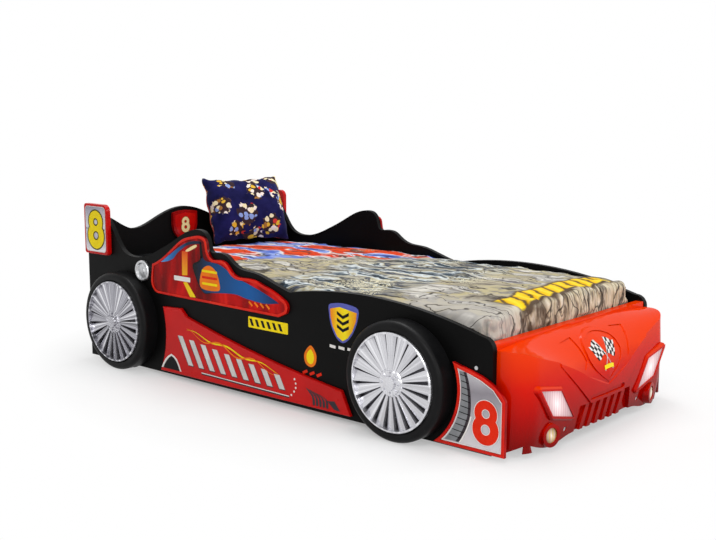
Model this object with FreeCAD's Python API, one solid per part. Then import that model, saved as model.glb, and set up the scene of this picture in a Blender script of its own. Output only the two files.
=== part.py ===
import FreeCAD, Part
import math
import os

# A racing-car bed for a child: lacquered board sides with a wavy top edge, a moulded
# plastic nose with lamps, fixed moulded wheels, raised boards on the flanks, a shaped
# headboard, and a mattress with its bedspread and pillow.
#
# Axes: +Z is up, +Y points to the headboard, the nose is at -Y.
# A station is the distance behind the front edges of the side panels.
# Right and left are the car's own sides: its right side is at -X.
# Pieces of the right side are built first, and the left ones are their mirror images.

V = FreeCAD.Vector

# ---- Driving dimensions, millimetres -------------------------------------------------

# Body
OUTER_WIDTH = 880.0          # over the outer faces of the two side panels
PANEL_LENGTH = 1810.0        # side panel, front edge to tail edge
BOARD = 18.0                 # side panels, headboard, footboard and number plates
OVERLAY = 12.0               # raised boards on the flanks
EDGE_LIFT = 12.0             # lower board edges above the floor
EDGE_ROUND = 3.0             # rounded lacquered edges of the raised boards

# Side panel, top edge
FRONT_TOP = 335.0            # height just behind the front corner
FRONT_CORNER = 35.0
CREST_HEIGHT = 397.0         # low hump over the front wheel
CREST_STATION = 440.0
WAIST_HEIGHT = 370.0         # dip where a child climbs in
WAIST_BACK = 1049.0          # distance of the dip ahead of the tail edge
FIN_HEIGHT = 556.0
FIN_CORNER = 25.0
# (distance ahead of the tail edge, height)
LOW_WAVE = [(958.0, 397.0), (897.0, 413.0), (825.0, 421.0), (786.0, 440.0), (758.0, 458.0),
            (740.0, 462.0), (698.0, 460.0)]
HIGH_WAVE = [(682.0, 468.0), (672.0, 500.0), (650.0, 526.0), (630.0, 531.0), (572.0, 522.0),
             (490.0, 481.0), (422.0, 448.0), (354.0, 420.0), (275.0, 407.0), (215.0, 421.0),
             (165.0, 478.0), (110.0, 540.0), (70.0, FIN_HEIGHT)]

# Headboard: (distance from the middle, height) of its top edge
HEADBOARD_PEAK = 540.0
HEADBOARD_WAVE = [(125.0, 508.0), (251.0, 473.0), (340.0, 516.0)]
HEADBOARD_END = 546.0
CROSS_FOOT = 60.0            # lower edges of headboard and footboard
FOOTBOARD_STATION = 43.0     # its front face
FOOTBOARD_TOP = 265.0

# Mattress support
SLAT_COUNT = 12
SLAT_WIDTH = 70.0
SLAT_THICK = 15.0
SLAT_END_GAP = 2.0
FIRST_SLAT_GAP = 20.0
RAIL_WIDTH = 25.0
RAIL_HEIGHT = 40.0

# Bedding
MATTRESS_SIDE_GAP = 22.0
MATTRESS_REAR_GAP = 152.0        # to the headboard's front face
MATTRESS_THICK = 110.0
MATTRESS_CORNER = 45.0
MATTRESS_EDGE = 12.0
MATTRESS_FRONT_OVERHANG = 3.0    # ahead of the footboard's front face
CLOTH = 7.0
BED_CROWN = 10.0
FRONT_DROP = 70.0                # bedspread below the mattress top, at the foot end
SIDE_DROP = 40.0
PILLOW_WIDTH = 400.0
PILLOW_HEIGHT = 310.0
PILLOW_THICK = 130.0
PILLOW_SEAM = 10.0
PILLOW_X = 205.0
PILLOW_FORWARD = 40.0            # foot of the pillow ahead of the mattress's rear end
PILLOW_LEAN = 28.0               # degrees back from upright
PILLOW_TURN = 14.0               # degrees, its outer end towards the nose
PILLOW_WAIST = 9.0               # how far the long seams draw in

# Wheels
TYRE_R = 175.0
RIM_R = 145.0
TYRE_WIDTH = 62.0
TYRE_SHOULDER = 16.0
TYRE_WALL = 4.0
FRONT_AXLE = 301.0               # station
REAR_OVERHANG = 223.0            # rear axle ahead of the tail edge
RIM_FIT = 0.5
RIM_RING = 6.0
RIM_PROUD = 5.0                  # rim beyond the tyre's outer plane
DISH_DEPTH = 24.0                # spokes' floor below the rim's edge
DISH_WALL = 4.0
HUB_R = 42.0
HUB_CAP_R = 37.0
HUB_DOME_R = 20.0
SPOKES = 20
SPOKE_ROOT = 10.5
SPOKE_TIP = 33.0
SPOKE_TWIST = 9.0                # one edge of each blade lies this much lower
WHEEL_BOLTS = 8
WHEEL_BOLT_R = 3.6               # corner radius of a hexagon head

# Raised boards on the flank
ARCH_GAP = 18.0                  # fender board behind the front tyre
RIM_BORDER = 9.0                 # raised border of the cockpit and fender boards
BORDER_STEP = 2.5
FENDER_LEAD = 48.0               # fender board ahead of the panel's front edge
FENDER_TOP = 255.0
FENDER_SHOULDER = 172.0
SKIRT_FOOT = 22.0
PLATE_LENGTH = 137.0
PLATE_HEIGHT = 183.0
PLATE_FOOT = 400.0
PLATE_INSET = 5.0
PLATE_CORNER = 10.0
PLATE_LEAD_CORNER = 25.0
FILLER_BACK = 327.0              # filler cap's centre ahead of the tail edge
FILLER_HEIGHT = 363.0
FILLER_R = 37.5
FILLER_DEPTH = 12.0
# (distance ahead of the tail edge, height)
COCKPIT_TOP = [(450.0, 425.0), (516.0, 471.0), (560.0, 497.0), (603.0, 508.0), (650.0, 512.0),
               (673.0, 500.0), (680.0, 470.0), (698.0, 443.0), (745.0, 441.0), (775.0, 430.0),
               (802.0, 404.0), (878.0, 395.0), (944.0, 381.0), (1034.0, 345.0)]
COCKPIT_REAR = [(389.0, 395.0), (381.0, 340.0), (394.0, 305.0), (421.0, 294.0)]
COCKPIT_NOSE = [(1050.0, 327.0), (1043.0, 302.0), (1011.0, 288.0)]
# (distance ahead of the rear axle, height)
SKIRT_REAR = [(199.0, SKIRT_FOOT), (231.0, 130.0), (219.0, 250.0)]
SKIRT_HORN = [(313.0, 255.0), (341.0, 230.0)]
SKIRT_SAG = 12.0                 # its long edge hangs this much below a straight line
# (distance behind the front axle, height)
SKIRT_NOSE = [(234.0, 99.0), (197.0, 26.0)]

# Headboard shield
SHIELD_HALF = 61.0
SHIELD_TOP = 525.0
SHIELD_SHOULDER = 470.0
SHIELD_POINT = 398.0

# Nose moulding
NOSE_REACH = 108.0               # ahead of the side panels' front edges
BEAK_STEP = 6.0                  # the beak stands this much proud of the nose
NOSE_BOW = 10.0                  # middle of the nose ahead of its corners
NOSE_CORNER = 80.0
NOSE_SIDE_GAP = 2.0
NOSE_REAR = 30.0                 # station of its rear flange
NOSE_WALL = 3.5
NOSE_FOOT = 18.0
NOSE_FLANGE = 26.0
RIM_TOP = 316.0
RIM_LIP = 6.0
RIM_LIP_STATION = 4.0
CREASE_LOW = 148.0               # brow crease at the middle
CREASE_HIGH = 296.0              # brow crease at the flanks
# (share of the half width, bulge above a straight slope, drop below the rim's lip)
BONNET_SECTIONS = [(0.0, 39.0, 0.0), (0.47, 15.0, 0.0), (1.03, 2.0, 12.0)]
# (height, how far the nose lies behind its furthest reach)
NOSE_PROFILE = [(NOSE_FOOT, 14.0), (60.0, 7.0), (130.0, 0.0), (220.0, 1.0), (RIM_TOP, 4.0)]
VALLEY_BACK = 22.0               # grille valley behind the nose
VALLEY_HALF_TOP = 148.0
VALLEY_HALF_FOOT = 172.0
BEAK_FOOT = 107.0
BEAK_HALF_FOOT = 95.0
BEAK_HALF_TOP = 250.0
BEAK_SHOULDER = 240.0
MOUTH_HALF = 100.0
MOUTH_FOOT = 116.0
MOUTH_HEIGHT = 15.0
MOUTH_DEPTH = 7.0
RIB_COUNT = 6
RIB_WIDTH = 20.0
RIB_PITCH = 43.0
RIB_SLANT = 50.0
RIB_RISE = 9.0
# Lower edge: (distance from the middle, height), then (station, height) along the flank
FOOT_WAVE = [(0.0, 33.0), (120.0, 34.0), (196.0, 32.0), (240.0, 22.0), (285.0, NOSE_FOOT),
             (340.0, 30.0), (385.0, 46.0)]
FLANK_WAVE = [(-20.0, NOSE_FOOT), (-50.0, 32.0), (-77.0, 46.0)]
# Shallow panels pressed into the bonnet: (distance from the middle, height)
BONNET_PANEL = [(178.0, 287.0), (112.0, 292.0), (104.0, 228.0), (126.0, 206.0)]
BONNET_PANEL_DEPTH = 2.0
# Headlamp corners: (distance from the middle, height)
LAMP = [(360.0, 194.0), (256.0, 175.0), (189.0, 87.0), (298.0, 112.0)]
BEZEL = 11.0
BEZEL_PROUD = 12.0
BEZEL_FLARE = 10.0
BEZEL_CHAMFER = 5.0
BEZEL_ROOT = -30.0               # station where the flared bezel has sunk into the nose
POCKET_DEPTH = 22.0
LAMP_SINK = 3.0
LENS_THICK = 2.5
LENS_FIT = 0.3
REFLECTOR_WALL = 1.5
REFLECTOR_DEPTH = 34.0
REFLECTOR_TAPER = 18.0
REFLECTOR_FLANGE = 5.0
FOG_X = 295.0
FOG_HEIGHT = 56.0
FOG_R = 22.0
FOG_RING = 11.0
FOG_PROUD = 7.0
FOG_TURN = 12.0                  # degrees outwards
FOG_CUP_DEPTH = 14.0
AIR_HOLE_X = 212.0
AIR_HOLE_HEIGHT = 54.0
AIR_HOLE_R = 7.0
LED_R = 11.0
LED_THICK = 1.6
DRIVER_R = 2.5
DRIVER_TALL = 2.5
# Nose badge: (distance from the middle, height, how much of a growth raises the point)
BADGE_EDGE = [(56.0, 284.0, 0.9), (84.0, 260.0, 0.5), (88.0, 236.0, 0.0), (60.0, 197.0, -0.3)]
BADGE_TOP = 294.0
BADGE_POINT = 161.0
BADGE_RIM = 7.0
BADGE_RIM_PROUD = 3.0
BADGE_THICK = 1.2

# Battery box on the headboard, in the gap behind the mattress
BOX_X = -215.0
BOX_HEIGHT = 335.0
BOX_WIDTH = 100.0
BOX_TALL = 64.0
BOX_DEPTH = 24.0
BOX_WALL = 2.0
BOX_LID = 3.0
CELL_R = 7.1
CELL_LENGTH = 50.5
CELL_GAP = 0.6
ROCKER_X = 30.0                  # from the box's middle
ROCKER_WIDE = 12.8
ROCKER_HALF = 9.4                # half its height
ROCKER_GAP = 0.8
ROCKER_ANGLE = 8.0               # degrees either side of level
ROCKER_SINK = 6.5                # pivot below the lid's face
ROCKER_PIN_R = 1.5
ROCKER_PIN_FIT = 0.05
ROCKER_EAR = 2.0

# Fasteners and glides
SCREW_R = 3.4
SCREW_HEAD_R = 5.5
SCREW_HEAD = 2.5
SCREW_LENGTH = 50.0
HOLE_FIT = 0.1
FOOTBOARD_SCREW_HEIGHTS = [118.0, 248.0]
BRACKET_ARM = 36.0
BRACKET_WIDE = 30.0
BRACKET_THICK = 2.0
HEAD_BRACKET_HEIGHTS = [120.0, 290.0]
FOOT_BRACKET_HEIGHT = 120.0
BATTEN_WIDE = 24.0
BATTEN_FOOT = 60.0
BATTEN_TOP = 260.0
GLIDE_LENGTH = 60.0
GLIDE_WIDE = 16.0

# ---- Derived places --------------------------------------------------------------------

HALF = OUTER_WIDTH / 2
INNER_HALF = HALF - BOARD
MID_STATION = (PANEL_LENGTH - NOSE_REACH) / 2
REAR_AXLE = PANEL_LENGTH - REAR_OVERHANG
WAIST_STATION = PANEL_LENGTH - WAIST_BACK
HEADBOARD_STATION = PANEL_LENGTH - BOARD
FOOTBOARD_REAR = FOOTBOARD_STATION + BOARD
RAIL_TOP = FOOTBOARD_TOP - SLAT_THICK
MATTRESS_FRONT = FOOTBOARD_STATION - MATTRESS_FRONT_OVERHANG
MATTRESS_REAR = HEADBOARD_STATION - MATTRESS_REAR_GAP
MATTRESS_HALF = INNER_HALF - MATTRESS_SIDE_GAP
MATTRESS_TOP = FOOTBOARD_TOP + MATTRESS_THICK
NOSE_HALF = INNER_HALF - NOSE_SIDE_GAP
BODY_REACH = NOSE_REACH - BEAK_STEP
LAMP_FACE = -(BODY_REACH - NOSE_BOW + BEZEL_PROUD)
FOG_FACE = -(BODY_REACH - NOSE_BOW + FOG_PROUD)
BOX_BACK = HEADBOARD_STATION
BOX_FACE = HEADBOARD_STATION - BOX_DEPTH - BOX_LID

# ---- Helpers ---------------------------------------------------------------------------


def side_plane(x):
    """Placing function for outlines seen from the side: (station, height)."""
    return lambda station, height: V(x, station - MID_STATION, height)


def front_plane(station):
    """Placing function for outlines seen from the front: (x, height)."""
    return lambda x, height: V(x, station - MID_STATION, height)


def plan_plane(height):
    """Placing function for outlines seen from above: (x, station)."""
    return lambda x, station: V(x, station - MID_STATION, height)


def closed_wire(place, start, *steps):
    """Closed wire through 2-D points.

    A step is a point for a straight run, ("arc", via, end) or ("curve", points).
    """
    first = place(*start)
    here = first
    edges = []
    for step in steps:
        if step[0] == "arc":
            end = place(*step[2])
            edges.append(Part.Arc(here, place(*step[1]), end).toShape())
        elif step[0] == "curve":
            points = [here] + [place(*point) for point in step[1]]
            end = points[-1]
            curve = Part.BSplineCurve()
            curve.interpolate(points)
            edges.append(curve.toShape())
        else:
            end = place(*step)
            edges.append(Part.makeLine(here, end))
        here = end
    if here.distanceToPoint(first) > 1e-6:
        edges.append(Part.makeLine(here, first))
    return Part.Wire(edges)


def side_board(x, depth, start, *steps):
    """Board with a side-view outline; its depth runs along X from the plane at x."""
    return Part.Face(closed_wire(side_plane(x), start, *steps)).extrude(V(depth, 0, 0))


def front_board(station, depth, start, *steps):
    """Board with a front-view outline; its depth runs along +Y from the station."""
    return Part.Face(closed_wire(front_plane(station), start, *steps)).extrude(V(0, depth, 0))


def block(x, station, height):
    """Box from three (low, high) pairs."""
    corner = V(x[0], station[0] - MID_STATION, height[0])
    return Part.makeBox(x[1] - x[0], station[1] - station[0], height[1] - height[0], corner)


def rod(start, end, radius):
    """Cylinder between two points."""
    return Part.makeCylinder(radius, start.distanceToPoint(end), start, end - start)


def point(x, station, height):
    return V(x, station - MID_STATION, height)


def mirrored(shape):
    return shape.mirror(V(0, 0, 0), V(1, 0, 0))


def round_edges(board, x, radius):
    """Rounds the edges of a side board that lie in the plane at x."""
    edges = [e for e in board.Edges if abs(e.BoundBox.XMin - x) < 1e-4 and abs(e.BoundBox.XMax - x) < 1e-4]
    return board.makeFillet(radius, edges)


def bordered(board, outline, border, step):
    """Sinks the field inside a border on the outer face of a right-hand side board."""
    field = Part.Face(outline).makeOffset2D(-border).toNurbs()
    field.translate(V(-1, 0, 0))
    return board.cut(field.Faces[0].extrude(V(step + 1, 0, 0)))


def bulged(start, end, bulge):
    """Middle point of an arc that rises from the chord on its right-hand side."""
    run, rise = end[0] - start[0], end[1] - start[1]
    length = math.hypot(run, rise)
    return ((start[0] + end[0]) / 2 + bulge * rise / length,
            (start[1] + end[1]) / 2 - bulge * run / length)


def crowned(radius, base, rise):
    """Profile points of a shallow crown: two cones from its rim to the axis."""
    return [(radius, base), (radius * 0.55, base + 0.75 * rise), (0, base + rise)]


def group(shapes):
    return Part.makeCompound(shapes)


def export(name, shape):
    shape.exportStep("parts/" + name + ".step")


def export_pair(name, shape):
    """Writes a right-hand piece and its mirror image."""
    export(name + "_right", shape)
    export(name + "_left", mirrored(shape))


# ---- Body boards -----------------------------------------------------------------------


def screw_places():
    """Inner ends and heads of the screws through the right-hand side panel."""
    station = FOOTBOARD_STATION + BOARD / 2
    return [(station, height) for height in FOOTBOARD_SCREW_HEIGHTS]


def side_panel():
    low_wave = [(PANEL_LENGTH - back, height) for back, height in LOW_WAVE]
    high_wave = [(PANEL_LENGTH - back, height) for back, height in HIGH_WAVE]
    inset = FRONT_CORNER * (1 - math.sqrt(0.5))
    fin_inset = FIN_CORNER * (1 - math.sqrt(0.5))
    panel = side_board(
        -HALF, BOARD, (0, EDGE_LIFT),
        (0, FRONT_TOP - FRONT_CORNER),
        ("arc", (inset, FRONT_TOP - inset), (FRONT_CORNER, FRONT_TOP)),
        ("arc", (CREST_STATION, CREST_HEIGHT), (WAIST_STATION, WAIST_HEIGHT)),
        ("curve", low_wave),
        ("curve", high_wave),
        (PANEL_LENGTH - FIN_CORNER, FIN_HEIGHT),
        ("arc", (PANEL_LENGTH - fin_inset, FIN_HEIGHT - fin_inset),
         (PANEL_LENGTH, FIN_HEIGHT - FIN_CORNER)),
        (PANEL_LENGTH, EDGE_LIFT),
    )
    for station, height in screw_places():
        hole = rod(point(-HALF - 1, station, height), point(-INNER_HALF + 1, station, height),
                   SCREW_R + HOLE_FIT)
        panel = panel.cut(hole)
    return panel


def headboard():
    right = [(-x, height) for x, height in reversed(HEADBOARD_WAVE)]
    wave = right + [(0, HEADBOARD_PEAK)] + HEADBOARD_WAVE + [(INNER_HALF, HEADBOARD_END)]
    return front_board(HEADBOARD_STATION, BOARD, (-INNER_HALF, CROSS_FOOT),
                       (-INNER_HALF, HEADBOARD_END), ("curve", wave), (INNER_HALF, CROSS_FOOT))


def footboard():
    board = block((-INNER_HALF, INNER_HALF), (FOOTBOARD_STATION, FOOTBOARD_REAR),
                  (CROSS_FOOT, FOOTBOARD_TOP))
    depth = SCREW_LENGTH - BOARD + 1
    for station, height in screw_places():
        bore = rod(point(-INNER_HALF - 1, station, height),
                   point(-INNER_HALF + depth, station, height), SCREW_R + HOLE_FIT)
        board = board.cut(bore).cut(mirrored(bore))
    return board


def headboard_shield():
    station = HEADBOARD_STATION - OVERLAY
    shield = front_board(station, OVERLAY, (-SHIELD_HALF, SHIELD_TOP - 8), ("arc", (0, SHIELD_TOP),
                         (SHIELD_HALF, SHIELD_TOP - 8)), (SHIELD_HALF, SHIELD_SHOULDER),
                         ("arc", (SHIELD_HALF * 0.72, (SHIELD_SHOULDER + SHIELD_POINT) / 2 - 8),
                          (0, SHIELD_POINT)),
                         ("arc", (-SHIELD_HALF * 0.72, (SHIELD_SHOULDER + SHIELD_POINT) / 2 - 8),
                          (-SHIELD_HALF, SHIELD_SHOULDER)))
    return shield


# ---- Mattress support ------------------------------------------------------------------


def slat_rail():
    return block((-INNER_HALF, -INNER_HALF + RAIL_WIDTH), (FOOTBOARD_REAR, MATTRESS_REAR),
                 (RAIL_TOP - RAIL_HEIGHT, RAIL_TOP))


def slat(index):
    first = FOOTBOARD_REAR + FIRST_SLAT_GAP
    pitch = (MATTRESS_REAR - SLAT_WIDTH - first) / (SLAT_COUNT - 1)
    start = first + index * pitch
    end_x = INNER_HALF - SLAT_END_GAP
    return block((-end_x, end_x), (start, start + SLAT_WIDTH), (RAIL_TOP, RAIL_TOP + SLAT_THICK))


# ---- Bedding ---------------------------------------------------------------------------


def rounded_slab(half, stations, heights, radius):
    """Block with rounded upright edges."""
    slab = block((-half, half), stations, heights)
    upright = [e for e in slab.Edges if e.BoundBox.ZLength > (heights[1] - heights[0]) / 2]
    return slab.makeFillet(radius, upright)


def mattress():
    body = rounded_slab(MATTRESS_HALF, (MATTRESS_FRONT, MATTRESS_REAR), (FOOTBOARD_TOP, MATTRESS_TOP),
                        MATTRESS_CORNER)
    level = [e for e in body.Edges if e.BoundBox.ZLength < 1e-3]
    return body.makeFillet(MATTRESS_EDGE, level)


def bedspread(core):
    """Padded cover laid over the mattress, with a drop over the foot end."""
    half = MATTRESS_HALF + CLOTH
    stations = (MATTRESS_FRONT - CLOTH, MATTRESS_REAR + CLOTH)
    foot = MATTRESS_TOP - FRONT_DROP
    shoulder = MATTRESS_TOP + CLOTH - 4
    crown = MATTRESS_TOP + CLOTH + BED_CROWN
    cover = rounded_slab(half, stations, (foot, crown + 20), MATTRESS_CORNER + CLOTH)
    bulge = front_board(stations[0] - 1, stations[1] - stations[0] + 2, (-half - 1, foot),
                        (-half - 1, shoulder), ("arc", (0, crown), (half + 1, shoulder)),
                        (half + 1, foot))
    cover = cover.common(bulge)
    soft = [e for e in cover.Edges if e.BoundBox.ZMin > shoulder - 2]
    cover = cover.makeFillet(MATTRESS_EDGE + CLOTH, soft)
    tail = block((-half - 1, half + 1), (MATTRESS_FRONT + MATTRESS_CORNER, stations[1] + 1),
                 (foot - 1, MATTRESS_TOP - SIDE_DROP))
    return cover.cut(core).cut(tail)


def pillow():
    """Plump pillow: lens sections along its width, drawn in along the seams."""
    sections = []
    steps = 8
    for i in range(steps + 1):
        u = -1 + 2 * i / steps
        fullness = math.sqrt(1 - 0.98 * u ** 4)
        half_tall = PILLOW_HEIGHT / 2 - PILLOW_WAIST * (1 - u * u)
        thick = (PILLOW_SEAM + (PILLOW_THICK - PILLOW_SEAM) * fullness) / 2
        x = u * PILLOW_WIDTH / 2
        seam = PILLOW_SEAM / 2
        sections.append(Part.Wire([
            Part.Arc(V(x, -seam, -half_tall), V(x, -thick, 0), V(x, -seam, half_tall)).toShape(),
            Part.makeLine(V(x, -seam, half_tall), V(x, seam, half_tall)),
            Part.Arc(V(x, seam, half_tall), V(x, thick, 0), V(x, seam, -half_tall)).toShape(),
            Part.makeLine(V(x, seam, -half_tall), V(x, -seam, -half_tall)),
        ]))
    body = Part.makeLoft(sections, True, True)
    body.translate(V(0, 0, PILLOW_HEIGHT / 2))
    body.rotate(V(0, 0, 0), V(1, 0, 0), -PILLOW_LEAN)
    body.rotate(V(0, 0, 0), V(0, 0, 1), -PILLOW_TURN)
    rest = MATTRESS_TOP + CLOTH + BED_CROWN - body.BoundBox.ZMin
    body.translate(point(PILLOW_X, MATTRESS_REAR - PILLOW_FORWARD, rest))
    return body


# ---- Wheels ----------------------------------------------------------------------------
# A wheel is built about the X axis on the panel's outer face, and stands out along -X.


def wheel_profile(*steps):
    """Closed profile wire in (radius, stand-out) pairs."""
    return closed_wire(lambda radius, out: V(-out, 0, radius), *steps)


def turned(wire, centre=V(0, 0, 0), axis=V(1, 0, 0)):
    """Solid of revolution, with its outside facing out whichever way the wire runs."""
    solid = Part.Face(wire).revolve(centre, axis, 360)
    if solid.Volume < 0:
        solid.reverse()
    return solid


def tyre():
    """Hollow moulded ring, open towards the panel."""
    wall = TYRE_WALL
    shoulder = TYRE_SHOULDER
    cut = shoulder * (1 - math.sqrt(0.5))
    lip = 5.0
    return turned(wheel_profile(
        (TYRE_R, 0), (TYRE_R, TYRE_WIDTH - shoulder),
        ("arc", (TYRE_R - cut, TYRE_WIDTH - cut), (TYRE_R - shoulder, TYRE_WIDTH)),
        (RIM_R + lip, TYRE_WIDTH), (RIM_R, TYRE_WIDTH - lip), (RIM_R, 0),
        (RIM_R + wall, 0), (RIM_R + wall, TYRE_WIDTH - lip - wall),
        (RIM_R + lip + wall / 2, TYRE_WIDTH - wall),
        (TYRE_R - shoulder, TYRE_WIDTH - wall), (TYRE_R - wall, TYRE_WIDTH - shoulder),
        (TYRE_R - wall, 0)))


def rim():
    """Dished cup with a ring, a hub and tapered, twisted blades."""
    edge = TYRE_WIDTH + RIM_PROUD
    floor = edge - DISH_DEPTH
    outer = RIM_R - RIM_FIT
    inner = outer - RIM_RING
    body = turned(wheel_profile(
        (outer, 0), (outer, edge - 2), (outer - 2, edge), (inner, edge), (inner - 3, floor),
        (HUB_R + 4, floor), (HUB_R, edge - 6), (HUB_R - 3, edge - 3), (0, edge - 3),
        (0, floor - DISH_WALL), (outer - DISH_WALL, floor - DISH_WALL), (outer - DISH_WALL, 0)))
    root = HUB_R - 1
    tip = inner + 1
    blade = Part.makeLoft([
        spoke_section(root, SPOKE_ROOT, floor - 1, edge - 4, edge - 7),
        spoke_section(tip, SPOKE_TIP, floor - 1, edge - 3, edge - 3 - SPOKE_TWIST)], True, True)
    blades = []
    for i in range(SPOKES):
        copy = blade.copy()
        copy.rotate(V(0, 0, 0), V(1, 0, 0), i * 360 / SPOKES)
        blades.append(copy)
    return body.multiFuse(blades)


def spoke_section(radius, width, floor, high, low):
    half = width / 2
    return Part.makePolygon([V(-floor, -half, radius), V(-floor, half, radius), V(-high, half, radius),
                             V(-low, -half, radius), V(-floor, -half, radius)])


def hub_cap():
    seat = TYRE_WIDTH + RIM_PROUD - 3
    cap = turned(wheel_profile((0, seat), (HUB_CAP_R, seat), (HUB_CAP_R - 1.5, seat + 2.5),
                               (HUB_DOME_R + 2, seat + 2.5), *crowned(HUB_DOME_R, seat + 8, 3)))
    ring = (HUB_CAP_R + HUB_DOME_R + 1) / 2
    corners = []
    for i in range(7):
        angle = math.pi * i / 3
        corners.append(V(-seat - 2, WHEEL_BOLT_R * math.sin(angle), ring + WHEEL_BOLT_R * math.cos(angle)))
    bolt = Part.Face(Part.makePolygon(corners)).extrude(V(-4.5, 0, 0))
    for i in range(WHEEL_BOLTS):
        copy = bolt.copy()
        copy.rotate(V(0, 0, 0), V(1, 0, 0), i * 360 / WHEEL_BOLTS)
        cap = cap.fuse(copy)
    return cap


def on_wheel(shape, axle_station):
    placed = shape.copy()
    placed.translate(point(-HALF, axle_station, TYRE_R))
    return placed


# ---- Raised boards on the flanks ---------------------------------------------------------


def from_tail(pairs):
    return [(PANEL_LENGTH - back, height) for back, height in pairs]


def cockpit_board():
    rear = from_tail(COCKPIT_REAR)
    nose = from_tail(COCKPIT_NOSE)
    steps = [("curve", from_tail(COCKPIT_TOP)), ("arc", nose[0], nose[1]), nose[2], rear[3],
             ("arc", rear[2], rear[1])]
    board = side_board(-HALF, -OVERLAY, rear[0], *steps)
    board = round_edges(board, -HALF - OVERLAY, EDGE_ROUND)
    outline = closed_wire(side_plane(-HALF - OVERLAY), rear[0], *steps)
    return bordered(board, outline, RIM_BORDER, BORDER_STEP)


def skirt_board():
    rear = [(REAR_AXLE - ahead, height) for ahead, height in SKIRT_REAR]
    horn = [(REAR_AXLE - ahead, height) for ahead, height in SKIRT_HORN]
    nose = [(FRONT_AXLE + behind, height) for behind, height in SKIRT_NOSE]
    middle = ((horn[1][0] + nose[0][0]) / 2, (horn[1][1] + nose[0][1]) / 2 - SKIRT_SAG)
    board = side_board(-HALF, -OVERLAY, rear[0], ("arc", rear[1], rear[2]), horn[0], horn[1],
                       ("arc", middle, nose[0]), nose[1])
    return round_edges(board, -HALF - OVERLAY, EDGE_ROUND)


def arch_point(height):
    """Point on the circle round the front tyre that the fender board follows."""
    radius = TYRE_R + ARCH_GAP
    return FRONT_AXLE - math.sqrt(radius ** 2 - (height - TYRE_R) ** 2), height


def fender_board():
    foot = EDGE_LIFT + 6
    steps = [("curve", [(27, FENDER_TOP - 27), (-12, FENDER_TOP - 46), (-FENDER_LEAD, FENDER_SHOULDER)]),
             (-FENDER_LEAD, foot), arch_point(foot),
             ("arc", arch_point(TYRE_R - 30), arch_point(FENDER_TOP))]
    board = side_board(-HALF, -OVERLAY, arch_point(FENDER_TOP), *steps)
    board = round_edges(board, -HALF - OVERLAY, EDGE_ROUND)
    for station, height in screw_places():
        room = rod(point(-HALF - SCREW_HEAD - HOLE_FIT, station, height), point(-HALF + 1, station, height),
                   SCREW_HEAD_R + HOLE_FIT)
        board = board.cut(room)
    outline = closed_wire(side_plane(-HALF - OVERLAY), arch_point(FENDER_TOP), *steps)
    return bordered(board, outline, RIM_BORDER, BORDER_STEP)


def number_plate():
    tail = PANEL_LENGTH - PLATE_INSET
    lead = tail - PLATE_LENGTH
    top = PLATE_FOOT + PLATE_HEIGHT
    small = PLATE_CORNER * (1 - math.sqrt(0.5))
    large = PLATE_LEAD_CORNER * (1 - math.sqrt(0.5))
    plate = side_board(
        -HALF, -BOARD, (lead, PLATE_FOOT + PLATE_CORNER), (lead, top - PLATE_LEAD_CORNER),
        ("arc", (lead + large, top - large), (lead + PLATE_LEAD_CORNER, top)),
        (tail - PLATE_CORNER, top), ("arc", (tail - small, top - small), (tail, top - PLATE_CORNER)),
        (tail, PLATE_FOOT + PLATE_CORNER),
        ("arc", (tail - small, PLATE_FOOT + small), (tail - PLATE_CORNER, PLATE_FOOT)),
        (lead + PLATE_CORNER, PLATE_FOOT),
        ("arc", (lead + small, PLATE_FOOT + small), (lead, PLATE_FOOT + PLATE_CORNER)))
    return round_edges(plate, -HALF - BOARD, EDGE_ROUND)


def filler_cap():
    cap = turned(wheel_profile(
        (0, 0), (FILLER_R, 0), (FILLER_R, FILLER_DEPTH - 4), (FILLER_R - 2, FILLER_DEPTH - 1),
        (FILLER_R - 5, FILLER_DEPTH), (FILLER_R - 9, FILLER_DEPTH - 1), (FILLER_R - 12, 4), (11, 4), (8, 7),
        (0, 7)))
    cap.translate(point(-HALF, PANEL_LENGTH - FILLER_BACK, FILLER_HEIGHT))
    return cap


# ---- Nose moulding -----------------------------------------------------------------------


def nose_plan(height, back, inset, rear, step):
    """Plan outline of the nose at one height, its middle a step further out."""
    half = NOSE_HALF - inset
    ends = BODY_REACH - NOSE_BOW - back - inset
    middle = ends + NOSE_BOW + step
    radius = NOSE_CORNER - inset
    cut = radius * (1 - math.sqrt(0.5))
    return closed_wire(
        plan_plane(height), (-half, rear), (-half, radius - ends),
        ("arc", (-half + cut, cut - ends), (radius - half, -ends)),
        ("arc", (0, -middle), (half - radius, -ends)),
        ("arc", (half - cut, cut - ends), (half, radius - ends)), (half, rear))


def bonnet_cutter(inset):
    """Everything above the bonnet, which slopes from the rim down to a V-shaped crease."""
    far = -170.0
    sky = RIM_TOP + 100
    sections = []
    for share, bulge, drop in BONNET_SECTIONS:
        rim = (RIM_LIP_STATION + inset, RIM_TOP - RIM_LIP - drop - inset)
        height = CREASE_LOW + (CREASE_HIGH - CREASE_LOW) * share - inset
        crease = (-BODY_REACH - 4 + inset, height)
        sections.append(closed_wire(
            side_plane(-share * NOSE_HALF), rim, ("arc", bulged(rim, crease, bulge), crease),
            (far, height - 120), (far, sky), (rim[0], sky)))
    half = Part.makeLoft(sections, True, False)
    return half.fuse(mirrored(half))


def valley_cutter(inset):
    """Room in front of the grille, between the lamp pods."""
    top = BEAK_FOOT + inset
    foot = -20.0
    return front_board(
        -200, 200 - (BODY_REACH - VALLEY_BACK - inset),
        (-VALLEY_HALF_FOOT - inset, foot), (-VALLEY_HALF_TOP - inset, top),
        (VALLEY_HALF_TOP + inset, top), (VALLEY_HALF_FOOT + inset, foot))


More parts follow.
